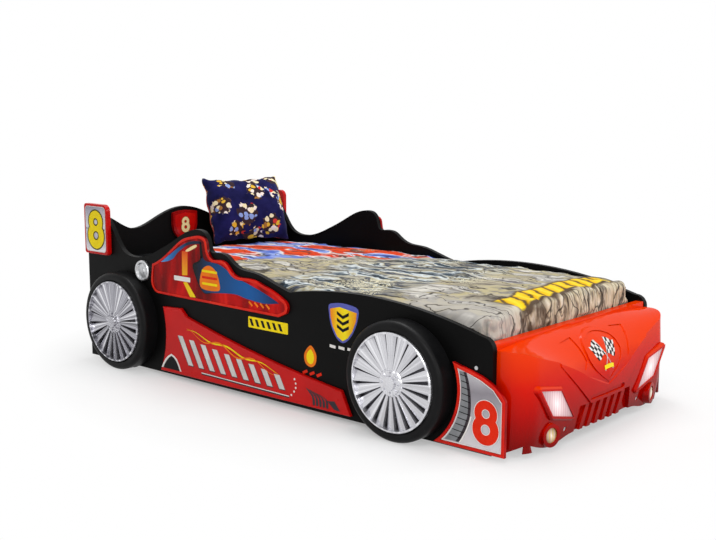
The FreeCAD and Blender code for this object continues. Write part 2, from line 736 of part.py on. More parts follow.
def nose_block(inset, rear=NOSE_REAR, foot=NOSE_FOOT, step=0):
    """Nose below its rim, shrunk by an inset or grown by a negative one."""
    sections = [nose_plan(height, back, inset, rear, step) for height, back in NOSE_PROFILE]
    sections[0] = nose_plan(foot, NOSE_PROFILE[0][1], inset, rear, step)
    sections[-1] = nose_plan(RIM_TOP - inset, NOSE_PROFILE[-1][1], inset, rear, step)
    return Part.makeLoft(sections, True, False)


def nose_form(inset, rear=NOSE_REAR, foot=NOSE_FOOT):
    """Nose block with its bonnet and its grille valley."""
    return nose_block(inset, rear, foot).cut(bonnet_cutter(inset)).cut(valley_cutter(inset))


def beak_form(inset):
    """Nose with its proud middle, flush with the bonnet above."""
    return nose_block(inset, step=BEAK_STEP).cut(bonnet_cutter(inset))


def beak():
    outline = front_board(-200, 190, (-BEAK_HALF_FOOT, BEAK_FOOT), (BEAK_HALF_FOOT, BEAK_FOOT),
                          (BEAK_HALF_TOP, BEAK_SHOULDER), (BEAK_HALF_TOP, RIM_TOP),
                          (-BEAK_HALF_TOP, RIM_TOP), (-BEAK_HALF_TOP, BEAK_SHOULDER))
    return outline.common(beak_form(0))


def badge_prism(grow):
    """Badge outline pushed through the bonnet, grown sideways and upwards."""
    flank = [(x + grow, height + grow * rise) for x, height, rise in BADGE_EDGE]
    point_height = BADGE_POINT - grow * 1.3
    start = (-flank[0][0], flank[0][1])
    right = flank[1:] + [(0, point_height)]
    left = [(-x, height) for x, height in reversed(flank)]
    return front_board(-200, 240, start, ("arc", (0, BADGE_TOP + grow), flank[0]), ("curve", right),
                       ("curve", left))


def bonnet_panel():
    """Room outside the bonnet, sunk into it over one pressed panel."""
    prism = front_board(-200, 200, *[(-x, height) for x, height in BONNET_PANEL])
    return prism.cut(beak_form(BONNET_PANEL_DEPTH))


def lamp_wire(station, grow, corners=2):
    """Headlamp outline on the right-hand side, grown with sharp (2) or round (0) corners."""
    wire = closed_wire(front_plane(station), *[(-x, height) for x, height in LAMP])
    if grow == 0:
        return wire
    return wire.makeOffset2D(grow, corners)


def lamp_prism(front, back, grow):
    return Part.Face(lamp_wire(front, grow)).extrude(V(0, back - front, 0))


def lamp_bezel(inset):
    """Flared block of the headlamp surround, or its hollow inside for the wall's inset."""
    return Part.makeLoft([
        lamp_wire(LAMP_FACE + inset, BEZEL - BEZEL_CHAMFER - inset / 2, 0),
        lamp_wire(LAMP_FACE + BEZEL_CHAMFER + inset / 2, BEZEL - inset, 0),
        lamp_wire(BEZEL_ROOT + inset / 2, BEZEL + BEZEL_FLARE - inset, 0)], True, True)


def fog_turned(steps):
    """Turned piece on the right-hand fog lamp's axis, from (radius, depth) pairs."""
    wire = closed_wire(lambda radius, depth: point(-FOG_X + radius, FOG_FACE + depth, FOG_HEIGHT),
                       *steps)
    pivot = point(-FOG_X, FOG_FACE, FOG_HEIGHT)
    piece = turned(wire, pivot, V(0, 1, 0))
    piece.rotate(pivot, V(0, 0, 1), -FOG_TURN)
    return piece


def fog_bezel(inset):
    """Flared ring of the fog lamp, or its hollow inside for the wall's inset."""
    front = FOG_R + FOG_RING - inset
    root = 50 + inset / 2
    return fog_turned([(0, inset), (front, inset), (front + 6, root), (0, root)])


def mouth():
    """Groove with round ends below the badge."""
    r = MOUTH_HEIGHT / 2
    low, high = MOUTH_FOOT, MOUTH_FOOT + MOUTH_HEIGHT
    middle = MOUTH_FOOT + r
    return front_board(-200, 200 - NOSE_REACH + MOUTH_DEPTH, (-MOUTH_HALF + r, low),
                       (MOUTH_HALF - r, low), ("arc", (MOUTH_HALF, middle), (MOUTH_HALF - r, high)),
                       (-MOUTH_HALF + r, high), ("arc", (-MOUTH_HALF, middle), (-MOUTH_HALF + r, low)))


def grille_rib(index):
    """Slanted rib in the valley."""
    x = (index - (RIB_COUNT - 1) / 2) * RIB_PITCH - (RIB_SLANT + RIB_WIDTH) / 2
    front = -(BODY_REACH - VALLEY_BACK + RIB_RISE)
    return front_board(front, RIB_RISE + NOSE_WALL, (x, NOSE_FOOT), (x + RIB_WIDTH, NOSE_FOOT),
                       (x + RIB_WIDTH + RIB_SLANT, BEAK_FOOT + 1), (x + RIB_SLANT, BEAK_FOOT + 1))


def foot_cutters():
    """Cutters that shape the nose's lower edge, across the front and along both flanks."""
    low = -25.0
    wide = NOSE_HALF + 30
    end_height = FOOT_WAVE[-1][1]
    right = [(-x, height) for x, height in reversed(FOOT_WAVE)]
    front = front_board(-200, 125, (-wide, low), (-wide, end_height), right[0],
                        ("curve", right[1:] + FOOT_WAVE[1:]), (wide, end_height), (wide, low))
    start = FLANK_WAVE[0]
    flank = side_board(-wide, wide - FOOT_WAVE[-1][0], (start[0], low), start,
                       ("curve", FLANK_WAVE[1:]), (-200, end_height), (-200, low))
    return [front, flank, mirrored(flank)]


def bumper():
    badge_rim = badge_prism(BADGE_RIM).cut(badge_prism(0)).common(beak_form(-BADGE_RIM_PROUD))
    lamp = lamp_bezel(0)
    fog = fog_bezel(0)
    body = nose_form(0).multiFuse([beak(), badge_rim, lamp, mirrored(lamp), fog, mirrored(fog)])

    lamp_hollow = lamp_bezel(NOSE_WALL)
    fog_hollow = fog_bezel(NOSE_WALL)
    cavity = nose_form(NOSE_WALL, NOSE_REAR - NOSE_WALL, -20.0)
    for hollow in (cavity, lamp_hollow, mirrored(lamp_hollow), fog_hollow, mirrored(fog_hollow)):
        body = body.cut(hollow)

    lamp_pocket = lamp_prism(LAMP_FACE, LAMP_FACE + POCKET_DEPTH, NOSE_WALL)
    fog_pocket = fog_turned([(0, 0), (FOG_R + NOSE_WALL, 0), (FOG_R + NOSE_WALL, POCKET_DEPTH),
                             (0, POCKET_DEPTH)])
    pockets = [lamp_pocket, mirrored(lamp_pocket), fog_pocket, mirrored(fog_pocket)]
    body = body.multiFuse(pockets + [grille_rib(i) for i in range(RIB_COUNT)])

    lamp_hole = lamp_prism(-200, -50, 0)
    fog_hole = fog_turned([(0, -60), (FOG_R, -60), (FOG_R, 40), (0, 40)])
    air_hole = rod(point(-AIR_HOLE_X, -200, AIR_HOLE_HEIGHT), point(-AIR_HOLE_X, -40, AIR_HOLE_HEIGHT),
                   AIR_HOLE_R)
    for cutter in (lamp_hole, fog_hole, air_hole, bonnet_panel()):
        body = body.cut(cutter).cut(mirrored(cutter))

    opening = block((-NOSE_HALF + NOSE_FLANGE, NOSE_HALF - NOSE_FLANGE),
                    (NOSE_REAR - 2 * NOSE_WALL, NOSE_REAR + 1), (-1, RIM_TOP - NOSE_FLANGE))
    for cutter in [mouth(), opening] + foot_cutters():
        body = body.cut(cutter)
    return body


def nose_badge():
    """Thin plate that follows the bonnet inside the badge rim."""
    return badge_prism(-LENS_FIT).common(beak_form(-BADGE_THICK)).cut(beak_form(0))


def headlamp_lens():
    front = LAMP_FACE + LAMP_SINK
    return lamp_prism(front, front + LENS_THICK, -LENS_FIT)


def headlamp_reflector():
    """Bowl behind the lens, with a flange against the rear of its pocket."""
    front = LAMP_FACE + LAMP_SINK + LENS_THICK
    seat = LAMP_FACE + POCKET_DEPTH
    back = front + REFLECTOR_DEPTH
    wall = REFLECTOR_WALL
    outside = Part.makeLoft([lamp_wire(front, -LENS_FIT), lamp_wire(back, -REFLECTOR_TAPER)], True, True)
    inside = Part.makeLoft([lamp_wire(front, -LENS_FIT - wall),
                            lamp_wire(back - wall, -REFLECTOR_TAPER - wall)], True, True)
    flange = lamp_prism(seat, seat + wall, REFLECTOR_FLANGE)
    return outside.fuse(flange).cut(inside)


def fog_lens():
    edge = FOG_R - LENS_FIT
    return fog_turned([(0, LAMP_SINK + LENS_THICK), (edge, LAMP_SINK + LENS_THICK),
                       *crowned(edge, LAMP_SINK, -LENS_THICK)])


def fog_reflector():
    """Cup behind the fog lens, with a flange against the rear of its pocket."""
    front = LAMP_SINK + LENS_THICK
    back = POCKET_DEPTH + FOG_CUP_DEPTH
    edge = FOG_R - LENS_FIT
    wall = REFLECTOR_WALL
    return fog_turned([(edge, front), (edge, POCKET_DEPTH), (edge + REFLECTOR_FLANGE, POCKET_DEPTH),
                       (edge + REFLECTOR_FLANGE, POCKET_DEPTH + wall), (edge, POCKET_DEPTH + wall),
                       (LED_R, back), (0, back), (0, back - wall), (LED_R - 1, back - wall),
                       (edge - wall, POCKET_DEPTH), (edge - wall, front)])


def led_profile(seat):
    """Round board with its driver, as (radius, depth) pairs from its seat on a reflector."""
    rear = seat + LED_THICK
    return [(0, seat), (LED_R, seat), (LED_R, rear), (DRIVER_R, rear), (DRIVER_R, rear + DRIVER_TALL),
            (0, rear + DRIVER_TALL)]


def led_boards():
    fog = fog_turned(led_profile(POCKET_DEPTH + FOG_CUP_DEPTH))
    x = -sum(corner[0] for corner in LAMP) / len(LAMP)
    height = sum(corner[1] for corner in LAMP) / len(LAMP)
    seat = LAMP_FACE + LAMP_SINK + LENS_THICK + REFLECTOR_DEPTH
    wire = closed_wire(lambda radius, depth: point(x + radius, depth, height), *led_profile(seat))
    head = turned(wire, point(x, 0, height), V(0, 1, 0))
    return group([head, mirrored(head), fog, mirrored(fog)])


def bumper_batten():
    inner = NOSE_HALF - BATTEN_WIDE
    return block((-NOSE_HALF, -inner), (NOSE_REAR, FOOTBOARD_STATION), (BATTEN_FOOT, BATTEN_TOP))


# ---- Battery box and rocker switch -------------------------------------------------------


def box_block(x, out, height):
    """Box from (low, high) pairs about the battery box's middle; out is off the headboard."""
    return block((BOX_X + x[0], BOX_X + x[1]), (BOX_BACK - out[1], BOX_BACK - out[0]),
                 (BOX_HEIGHT + height[0], BOX_HEIGHT + height[1]))


def battery_box():
    half, tall = BOX_WIDTH / 2, BOX_TALL / 2
    shell = box_block((-half, half), (0, BOX_DEPTH), (-tall, tall))
    room = box_block((-half + BOX_WALL, half - BOX_WALL), (BOX_WALL, BOX_DEPTH + 1),
                     (-tall + BOX_WALL, tall - BOX_WALL))
    return shell.cut(room)


def rocker_pivot():
    return point(BOX_X + ROCKER_X, BOX_FACE + ROCKER_SINK, BOX_HEIGHT)


def battery_cover():
    half, tall = BOX_WIDTH / 2, BOX_TALL / 2
    side = ROCKER_WIDE / 2 + ROCKER_GAP / 2
    end = ROCKER_HALF + 2 * ROCKER_GAP + 0.4
    lid = box_block((-half, half), (BOX_DEPTH, BOX_DEPTH + BOX_LID), (-tall, tall))
    reach = ROCKER_SINK + ROCKER_PIN_R + 2
    for edge in (ROCKER_X - side - ROCKER_EAR, ROCKER_X + side):
        ear = box_block((edge, edge + ROCKER_EAR), (BOX_DEPTH + BOX_LID - reach, BOX_DEPTH + 1),
                        (-4, 4))
        lid = lid.fuse(ear)
    window = box_block((ROCKER_X - side, ROCKER_X + side), (BOX_DEPTH - 1, BOX_DEPTH + BOX_LID + 1),
                       (-end, end))
    pivot = rocker_pivot()
    bore = rod(pivot - V(side + ROCKER_EAR + 1, 0, 0), pivot + V(side + ROCKER_EAR + 1, 0, 0),
               ROCKER_PIN_R + ROCKER_PIN_FIT)
    return lid.cut(window).cut(bore)


def rocker_switch():
    """Rocker with its pivot pins, pressed in at the top: lamps on."""
    pivot = rocker_pivot()
    half = ROCKER_HALF
    face = ROCKER_SINK + 1.9
    profile = Part.makePolygon([V(-ROCKER_WIDE / 2, y, z) for y, z in (
        (1.5, -half), (-face, -half), (-face + 1.3, 0), (-face, half), (1.5, half), (4, 3), (4, -3),
        (1.5, -half))])
    body = Part.Face(profile).extrude(V(ROCKER_WIDE, 0, 0))
    pin_half = ROCKER_WIDE / 2 + ROCKER_GAP / 2 + ROCKER_EAR
    body = body.fuse(rod(V(-pin_half, 0, 0), V(pin_half, 0, 0), ROCKER_PIN_R))
    body.rotate(V(0, 0, 0), V(1, 0, 0), -ROCKER_ANGLE)
    body.translate(pivot)
    return body


def battery_cells():
    """Three round cells stacked against the back of the box."""
    pitch = 2 * CELL_R + CELL_GAP
    low = -BOX_TALL / 2 + BOX_WALL + CELL_R
    left = BOX_X - BOX_WIDTH / 2 + BOX_WALL + 1
    cells = []
    for i in range(3):
        centre = point(left, BOX_BACK - BOX_WALL - CELL_R, BOX_HEIGHT + low + i * pitch)
        cells.append(rod(centre, centre + V(CELL_LENGTH, 0, 0), CELL_R))
    return group(cells)


# ---- Fasteners and glides ----------------------------------------------------------------


def panel_screw(station, height):
    head = rod(point(-HALF - SCREW_HEAD, station, height), point(-HALF, station, height), SCREW_HEAD_R)
    shank = rod(point(-HALF, station, height), point(-HALF + SCREW_LENGTH, station, height), SCREW_R)
    return head.fuse(shank)


def panel_screws():
    right = [panel_screw(station, height) for station, height in screw_places()]
    return group(right + [mirrored(screw) for screw in right])


def angle_bracket(corner_station, direction, height):
    """Steel angle in an inner corner of the right-hand panel."""
    arm = direction * BRACKET_ARM
    thick = direction * BRACKET_THICK
    x0 = -INNER_HALF
    flat = sorted((corner_station, corner_station + arm))
    face = sorted((corner_station, corner_station + thick))
    span = (height, height + BRACKET_WIDE)
    on_panel = block((x0, x0 + BRACKET_THICK), flat, span)
    on_board = block((x0, x0 + BRACKET_ARM), face, span)
    return on_panel.fuse(on_board)


def corner_brackets():
    right = [angle_bracket(HEADBOARD_STATION, -1, height) for height in HEAD_BRACKET_HEIGHTS]
    right.append(angle_bracket(FOOTBOARD_REAR, 1, FOOT_BRACKET_HEIGHT))
    return group(right + [mirrored(bracket) for bracket in right])


def floor_glides():
    middle = -HALF + BOARD / 2
    right = []
    for axle in (FRONT_AXLE, REAR_AXLE):
        right.append(block((middle - GLIDE_WIDE / 2, middle + GLIDE_WIDE / 2),
                           (axle - GLIDE_LENGTH / 2, axle + GLIDE_LENGTH / 2), (0, EDGE_LIFT)))
    return group(right + [mirrored(glide) for glide in right])


# ---- Build and write -----------------------------------------------------------------------


def main():
    os.makedirs("parts", exist_ok=True)

    export_pair("side_panel", side_panel())
    export("headboard", headboard())
    export("headboard_shield", headboard_shield())
    export("footboard", footboard())
    export_pair("slat_rail", slat_rail())
    for i in range(SLAT_COUNT):
        export("slat_%02d" % (i + 1), slat(i))

    core = mattress()
    export("mattress", core)
    export("bedspread", bedspread(core))
    export("pillow", pillow())

    for name, axle in (("front", FRONT_AXLE), ("rear", REAR_AXLE)):
        export_pair("tyre_" + name, on_wheel(tyre(), axle))
        export_pair("rim_" + name, on_wheel(rim(), axle))
    caps = [on_wheel(hub_cap(), axle) for axle in (FRONT_AXLE, REAR_AXLE)]
    export("hub_caps", group(caps + [mirrored(cap) for cap in caps]))

    export_pair("cockpit_board", cockpit_board())
    export_pair("skirt_board", skirt_board())
    export_pair("fender_board", fender_board())
    export_pair("number_plate", number_plate())
    export_pair("filler_cap", filler_cap())

    export("bumper_shell", bumper())
    export("nose_badge", nose_badge())
    export_pair("headlamp_lens", headlamp_lens())
    export_pair("headlamp_reflector", headlamp_reflector())
    export_pair("foglamp_lens", fog_lens())
    export_pair("foglamp_reflector", fog_reflector())
    export("led_boards", led_boards())
    export("bumper_battens", group([bumper_batten(), mirrored(bumper_batten())]))

    export("battery_box", battery_box())
    export("battery_cover", battery_cover())
    export("battery_cells", battery_cells())
    export("rocker_switch", rocker_switch())

    export("panel_screws", panel_screws())
    export("corner_brackets", corner_brackets())
    export("floor_glides", floor_glides())


main()
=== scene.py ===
import bpy
import math
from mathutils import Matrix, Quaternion, Vector, geometry, noise
from mathutils.bvhtree import BVHTree


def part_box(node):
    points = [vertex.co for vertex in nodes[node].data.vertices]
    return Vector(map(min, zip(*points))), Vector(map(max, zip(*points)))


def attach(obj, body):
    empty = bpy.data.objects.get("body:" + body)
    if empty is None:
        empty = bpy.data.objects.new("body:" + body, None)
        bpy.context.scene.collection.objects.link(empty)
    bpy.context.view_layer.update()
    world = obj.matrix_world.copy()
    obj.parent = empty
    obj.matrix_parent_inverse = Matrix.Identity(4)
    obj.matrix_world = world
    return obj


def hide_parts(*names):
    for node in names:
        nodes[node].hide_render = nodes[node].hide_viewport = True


# Looks of a child's racing-car bed: boards, prints, nose, wheels, lamps and bedding.
# +Z is up and the nose points to -Y. Outlines are written in millimetres: a station is
# the distance behind the side panels' front edges, a height is above the floor.

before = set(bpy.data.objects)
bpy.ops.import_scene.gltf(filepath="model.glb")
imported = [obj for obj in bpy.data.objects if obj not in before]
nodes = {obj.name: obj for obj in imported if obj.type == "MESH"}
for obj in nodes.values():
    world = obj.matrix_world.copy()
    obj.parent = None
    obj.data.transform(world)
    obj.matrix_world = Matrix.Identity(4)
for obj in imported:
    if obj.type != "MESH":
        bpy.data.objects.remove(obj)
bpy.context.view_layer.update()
scene = bpy.context.scene

# ---- Places ------------------------------------------------------------------------------

MID_STATION = 851           # station of the frame's origin
PANEL_FACE = 440            # outer face of the side panels, from the middle
BOARD_FACE = 452            # outer face of the raised boards and their borders
FIELD_FACE = 449.5          # sunk field inside a border
PLATE_FACE = 458            # outer face of the number plates
PRINT = 0.35                # how far one printed layer stands over the next
FRONT_AXLE = 301            # stations of the wheel centres
REAR_AXLE = 1587
AXLE_HEIGHT = 175
SHIELD_STATION = 1780       # front face of the headboard's shield
LAMP_CENTRE = (275.75, 142)     # across and up, on either side
FOG_CENTRE = (295, 56)

# Bedding, in metres and radians.
COVER_ROOM = 0.013          # how far the mattress gives way under its cover
NOSE_CLEAR = 0.324          # below this height the cover keeps behind its solid's front face
SOLID_TURN, SOLID_LEAN = math.radians(-14), math.radians(-28)       # of the pillow's solid
PILLOW_TURN, PILLOW_LEAN = math.radians(-18), math.radians(-26)     # of the cushion
PILLOW_HALF = (0.2, 0.155)      # half its solid's width and height
PILLOW_SHARE = (0.84, 0.93)     # of its solid's width and height
PILLOW_SHIFT = Vector((0.012, 0.011, -0.003))
SETTLE_FRAMES = 20          # length of a cloth simulation

# Studio, in metres and degrees.
LENS, SENSOR = 54.73, 36
CAMERA_PLACE = (-2.792, -2.439, 0.958)
CAMERA_ANGLES = (-48.715, 8.865, 0.096)     # azimuth, elevation and roll
WORLD_STRENGTH = 0.4
FLOOR_HALF = 14.0
LAMPS = (       # name, place, aim, size, power
    ("key", (-3.4, -2.6, 3.2), (0, 0, 0.3), (1.6, 1.6), 62),
    ("front_strip", (-0.6, -4.0, 1.7), (0, -0.7, 0.2), (2.6, 0.05), 22),
    ("right_strip", (2.6, -3.0, 2.2), (0.1, -0.7, 0.2), (0.05, 2.2), 24),
    ("top", (0.3, 0.3, 3.6), (0, 0, 0.3), (0.9, 3.2), 60),
    ("low", (-2.6, -3.4, 0.7), (-0.3, -0.8, 0.2), (0.5, 0.5), 9),
)


def station_level(station):
    """Place of a station along the frame's Y axis, in metres."""
    return (station - MID_STATION) / 1000


def at(x, station, height):
    return Vector((x / 1000, station_level(station), height / 1000))


def on_flank(side, face):
    """Placing function on a flank: side is -1 on the car's right and 1 on its left."""
    return lambda station, height: at(side * face, station, height)


def on_front(station):
    return lambda x, height: at(x, station, height)


# ---- Material recipes --------------------------------------------------------------------


def colour(code, gain=1.0):
    """Linear colour from a web code."""
    parts = [int(code[i:i + 2], 16) / 255 for i in (1, 3, 5)]
    linear = [p / 12.92 if p <= 0.04045 else ((p + 0.055) / 1.055) ** 2.4 for p in parts]
    return (*[min(1.0, gain * v) for v in linear], 1.0)


class Recipe:
    """Small helper round one node material."""

    def __init__(self, name, **sockets):
        self.material = bpy.data.materials.new(name)
        self.material.use_nodes = True
        self.tree = self.material.node_tree
        self.shader = self.tree.nodes["Principled BSDF"]
        self.place = self.tree.nodes.new("ShaderNodeTexCoord").outputs["Object"]
        for socket, value in sockets.items():
            self.shader.inputs[socket.replace("_", " ")].default_value = value

    def link(self, source, target):
        self.tree.links.new(source, target)

    def into(self, source, socket):
        self.link(source, self.shader.inputs[socket])

    def node(self, kind, inputs=None, **settings):
        made = self.tree.nodes.new("ShaderNode" + kind)
        for key, value in settings.items():
            setattr(made, key, value)
        for key, value in (inputs or {}).items():
            if isinstance(value, bpy.types.NodeSocket):
                self.link(value, made.inputs[key])
            else:
                made.inputs[key].default_value = value
        return made

    def math(self, operation, a, b=0.0, clamp=False):
        return self.node("Math", {0: a, 1: b}, operation=operation, use_clamp=clamp).outputs[0]

    def plus(self, a, b):
        return self.math("ADD", a, b)

    def minus(self, a, b, clamp=False):
        return self.math("SUBTRACT", a, b, clamp)

    def times(self, a, b):
        return self.math("MULTIPLY", a, b)

    def split(self, vector):
        return self.node("SeparateXYZ", {0: vector}).outputs

    def stretched(self, scale, vector=None):
        source = self.place if vector is None else vector
        return self.node("Mapping", {"Vector": source, "Scale": scale}).outputs[0]

    def noise(self, scale, detail=4.0, vector=None, distortion=0.0):
        source = self.place if vector is None else vector
        return self.node("TexNoise", {"Vector": source, "Scale": scale, "Detail": detail,
                                      "Distortion": distortion}).outputs["Fac"]

    def ramp(self, factor, stops, interpolation="LINEAR"):
        """Colours along a factor; a stop's value is a web code or a linear colour."""
        made = self.node("ValToRGB", {0: factor})
        band = made.color_ramp
        band.interpolation = interpolation
        while len(band.elements) < len(stops):
            band.elements.new(0.5)
        for element, (place, value) in zip(band.elements, stops):
            element.position = place
            element.color = colour(value) if isinstance(value, str) else value
        return made.outputs[0]

    def mix(self, factor, a, b, blend="MIX"):
        made = self.node("Mix", {"Factor": factor}, data_type="RGBA", blend_type=blend)
        for socket, value in ((made.inputs[6], a), (made.inputs[7], b)):
            if isinstance(value, bpy.types.NodeSocket):
                self.link(value, socket)
            else:
                socket.default_value = value
        return made.outputs[2]

    def level(self, value, low, high, **more):
        """0 to 1 as the value goes from one limit to the other."""
        limits = {"Value": value, "From Min": low, "From Max": high, **more}
        return self.node("MapRange", limits).outputs[0]

    def wobble(self, scale, reach, detail=4.0):
        """Soft noise round zero."""
        return self.times(self.minus(self.noise(scale, detail), 0.5), reach)

    def between(self, value, low, high, soft):
        """1 between two limits, 0 outside them, with soft edges."""
        rise = self.level(value, low - soft, low + soft)
        return self.minus(rise, self.level(value, high - soft, high + soft), True)

    def spread(self, factor, low, high):
        return self.node("MapRange", {"Value": factor, "To Min": low, "To Max": high}).outputs[0]

    def bump(self, height, strength, distance=0.001):
        made = self.node("Bump", {"Height": height, "Strength": strength, "Distance": distance})
        self.into(made.outputs[0], "Normal")


def shaded(code, vary):
    """Darker and lighter neighbours of a colour, as two ramp stops."""
    return [(0.3, colour(code, 1 - vary)), (0.7, colour(code, 1 + vary))]


def coated(name, code, rough, vary=0.1, patch=9.0, grain=900.0, relief=0.05, **sockets):
    """Lacquer, plastic or ink: uneven tint, uneven gloss and a fine surface grain."""
    r = Recipe(name, **{"Specular_IOR_Level": 0.1, **sockets})
    cloud = r.noise(patch)
    r.into(r.ramp(cloud, shaded(code, vary)), "Base Color")
    scuff = r.noise(patch * 5, 6.0)
    r.into(r.spread(scuff, rough - 0.07, rough + 0.07), "Roughness")
    r.bump(r.noise(grain, 2.0), relief, 0.0004)
    return r.material


def height_graded(name, stops, low, high, rough, **sockets):
    """Glossy moulding with painted light: painted shade deepens it towards its foot and where it faces
    down, and a painted highlight brightens it where it faces up.
    """
    r = Recipe(name, **sockets)
    z = r.split(r.place)[2]
    # Painted shade: darker towards the foot.
    level = r.plus(r.level(z, low, high), r.wobble(5.0, 0.16))
    # Painted highlight where the surface faces up, painted shade where it faces down.
    facing = r.split(r.node("NewGeometry").outputs["Normal"])[2]
    painted_top_light = r.times(r.math("MAXIMUM", facing, -0.6), 0.5)
    r.into(r.ramp(r.plus(level, painted_top_light), stops), "Base Color")
    r.into(r.spread(r.noise(30.0, 5.0), rough - 0.04, rough + 0.05), "Roughness")
    r.bump(r.noise(140.0, 1.0), 0.06, 0.0008)
    return r.material


def brushed_silver(name):
    """Vacuum-metallised plastic with painted light: painted shade darkens its depths, and painted
    reflections fan out round each axle.
    """
    r = Recipe(name, Metallic=0.8, Coat_Weight=0.1, Coat_Roughness=0.12)
    x, y, z = r.split(r.place)
    # Painted shade: darker towards the floor between the blades than at the blade tops.
    out = r.level(r.math("ABSOLUTE", x), 0.482, 0.499)
    painted_shade_depth = r.plus(out, r.wobble(9.0, 0.3, 3.0))
    bright = r.ramp(painted_shade_depth, [(0.0, "#47464c"), (0.35, "#807f85"), (0.7, "#bebdc3"), (1.0, "#ececf0")])
    # Painted reflection: light and dark bands fan out round each axle, more strongly on the rear wheels.
    behind = r.math("GREATER_THAN", y, 0.0)
    front, rear = station_level(FRONT_AXLE), station_level(REAR_AXLE)
    axle = r.plus(r.times(behind, rear - front), front)
    turn = r.math("ARCTAN2", r.minus(z, AXLE_HEIGHT / 1000), r.minus(y, axle))
    fan = r.node("CombineXYZ", {0: r.times(turn, 5.0)}).outputs[0]
    painted_reflection = r.ramp(r.noise(1.9, 4.0, fan), [(0.36, "#3c3b42"), (0.5, "#a2a1a8"), (0.62, "#ffffff")])
    share = r.plus(r.times(behind, 0.5), 0.35)
    r.into(r.mix(share, bright, painted_reflection, "MULTIPLY"), "Base Color")
    r.into(r.spread(r.noise(50.0, 3.0), 0.2, 0.3), "Roughness")
    r.bump(r.noise(160.0, 1.0), 0.04, 0.0005)
    return r.material


def rubber(name):
    r = Recipe(name, Specular_IOR_Level=0.12)
    r.into(r.ramp(r.noise(14.0, 6.0), [(0.3, "#0a0a0b"), (0.7, "#121213")]), "Base Color")
    r.into(r.spread(r.noise(60.0, 5.0), 0.34, 0.5), "Roughness")
    r.bump(r.noise(700.0, 3.0), 0.12, 0.0005)
    return r.material


def pine(name):
    r = Recipe(name, Specular_IOR_Level=0.35)
    grain = r.node("TexWave", {"Vector": r.stretched((1.2, 9.0, 9.0)), "Scale": 3.0, "Distortion": 5.0,
                               "Detail": 3.0, "Detail Scale": 1.4}, bands_direction="Z").outputs["Fac"]
    r.into(r.ramp(grain, [(0.1, "#d9b27c"), (0.6, "#e6c794"), (0.95, "#bd8f58")]), "Base Color")
    r.into(r.spread(grain, 0.5, 0.68), "Roughness")
    r.bump(grain, 0.15, 0.0006)
    return r.material


def steel(name, code):
    r = Recipe(name, Metallic=1.0)
    r.into(r.ramp(r.noise(90.0, 5.0), shaded(code, 0.18)), "Base Color")
    r.into(r.spread(r.noise(220.0, 4.0), 0.24, 0.42), "Roughness")
    r.bump(r.noise(500.0, 2.0), 0.1, 0.0003)
    return r.material


def lit_lens(name, centre, reach, core, rim, glow):
    """Lamp window that glows at its middle; the same recipe serves both sides."""
    r = Recipe(name, Roughness=0.12, Coat_Weight=0.6, Coat_Roughness=0.05)
    x, _, z = r.split(r.place)
    across = r.minus(r.math("ABSOLUTE", x), centre[0] / 1000)
    up = r.minus(z, centre[1] / 1000)
    lean = r.minus(up, r.times(across, 0.45))
    squares = r.plus(r.times(across, across), r.times(lean, lean))
    level = r.level(r.math("SQRT", squares), 0.0, reach / 1000)
    flutes = r.node("TexWave", {"Vector": r.place, "Scale": 26.0, "Distortion": 1.0},
                    bands_direction="X").outputs["Fac"]
    r.into(r.mix(level, r.ramp(flutes, [(0.0, core), (1.0, "#e6d2d0")]), rim), "Base Color")
    r.into(r.ramp(level, [(0.0, "#ffffff"), (0.4, core)]), "Emission Color")
    r.into(r.ramp(level, [(0.0, (glow, glow, glow, 1)), (0.8, (glow * 0.1,) * 3 + (1,))]),
           "Emission Strength")
    r.bump(flutes, 0.12, 0.0008)
    return r.material


# ---- Prints ------------------------------------------------------------------------------


def add_mesh(name, verts, faces, materials):
    mesh = bpy.data.meshes.new(name)
    mesh.from_pydata(verts, [], faces)
    mesh.update()
    for material in materials:
        mesh.materials.append(material)
    made = bpy.data.objects.new(name, mesh)
    scene.collection.objects.link(made)
    return made


def loop_through(points, steps=6):
    """Closed smooth outline through a few points."""
    out = []
    count = len(points)
    for i in range(count):
        p0, p1, p2, p3 = (Vector(points[(i + k) % count]) for k in (-1, 0, 1, 2))
        for j in range(steps):
            t = j / steps
            out.append(tuple(0.5 * ((2 * p1) + (p2 - p0) * t + (2 * p0 - 5 * p1 + 4 * p2 - p3) * t * t
                                    + (3 * p1 - p0 - 3 * p2 + p3) * t ** 3)))
    return out


def circle(centre, radius, steps=36):
    return [(centre[0] + radius * math.cos(2 * math.pi * i / steps),
             centre[1] + radius * math.sin(2 * math.pi * i / steps)) for i in range(steps)]


def flat_print(name, place, loops, material):
    """One printed area; the first loop is its outline, and the others are holes."""
    filled = geometry.tessellate_polygon([[Vector((a, b, 0)) for a, b in loop] for loop in loops])
    verts = [place(a, b) for loop in loops for a, b in loop]
    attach(add_mesh(name, verts, filled, [material]), "bed_frame")


def flank_print(name, face, loops, material, layer=1):
    for side, word in ((-1, "right"), (1, "left")):
        flat_print("print_%s_%s" % (name, word), on_flank(side, face + layer * PRINT), loops, material)


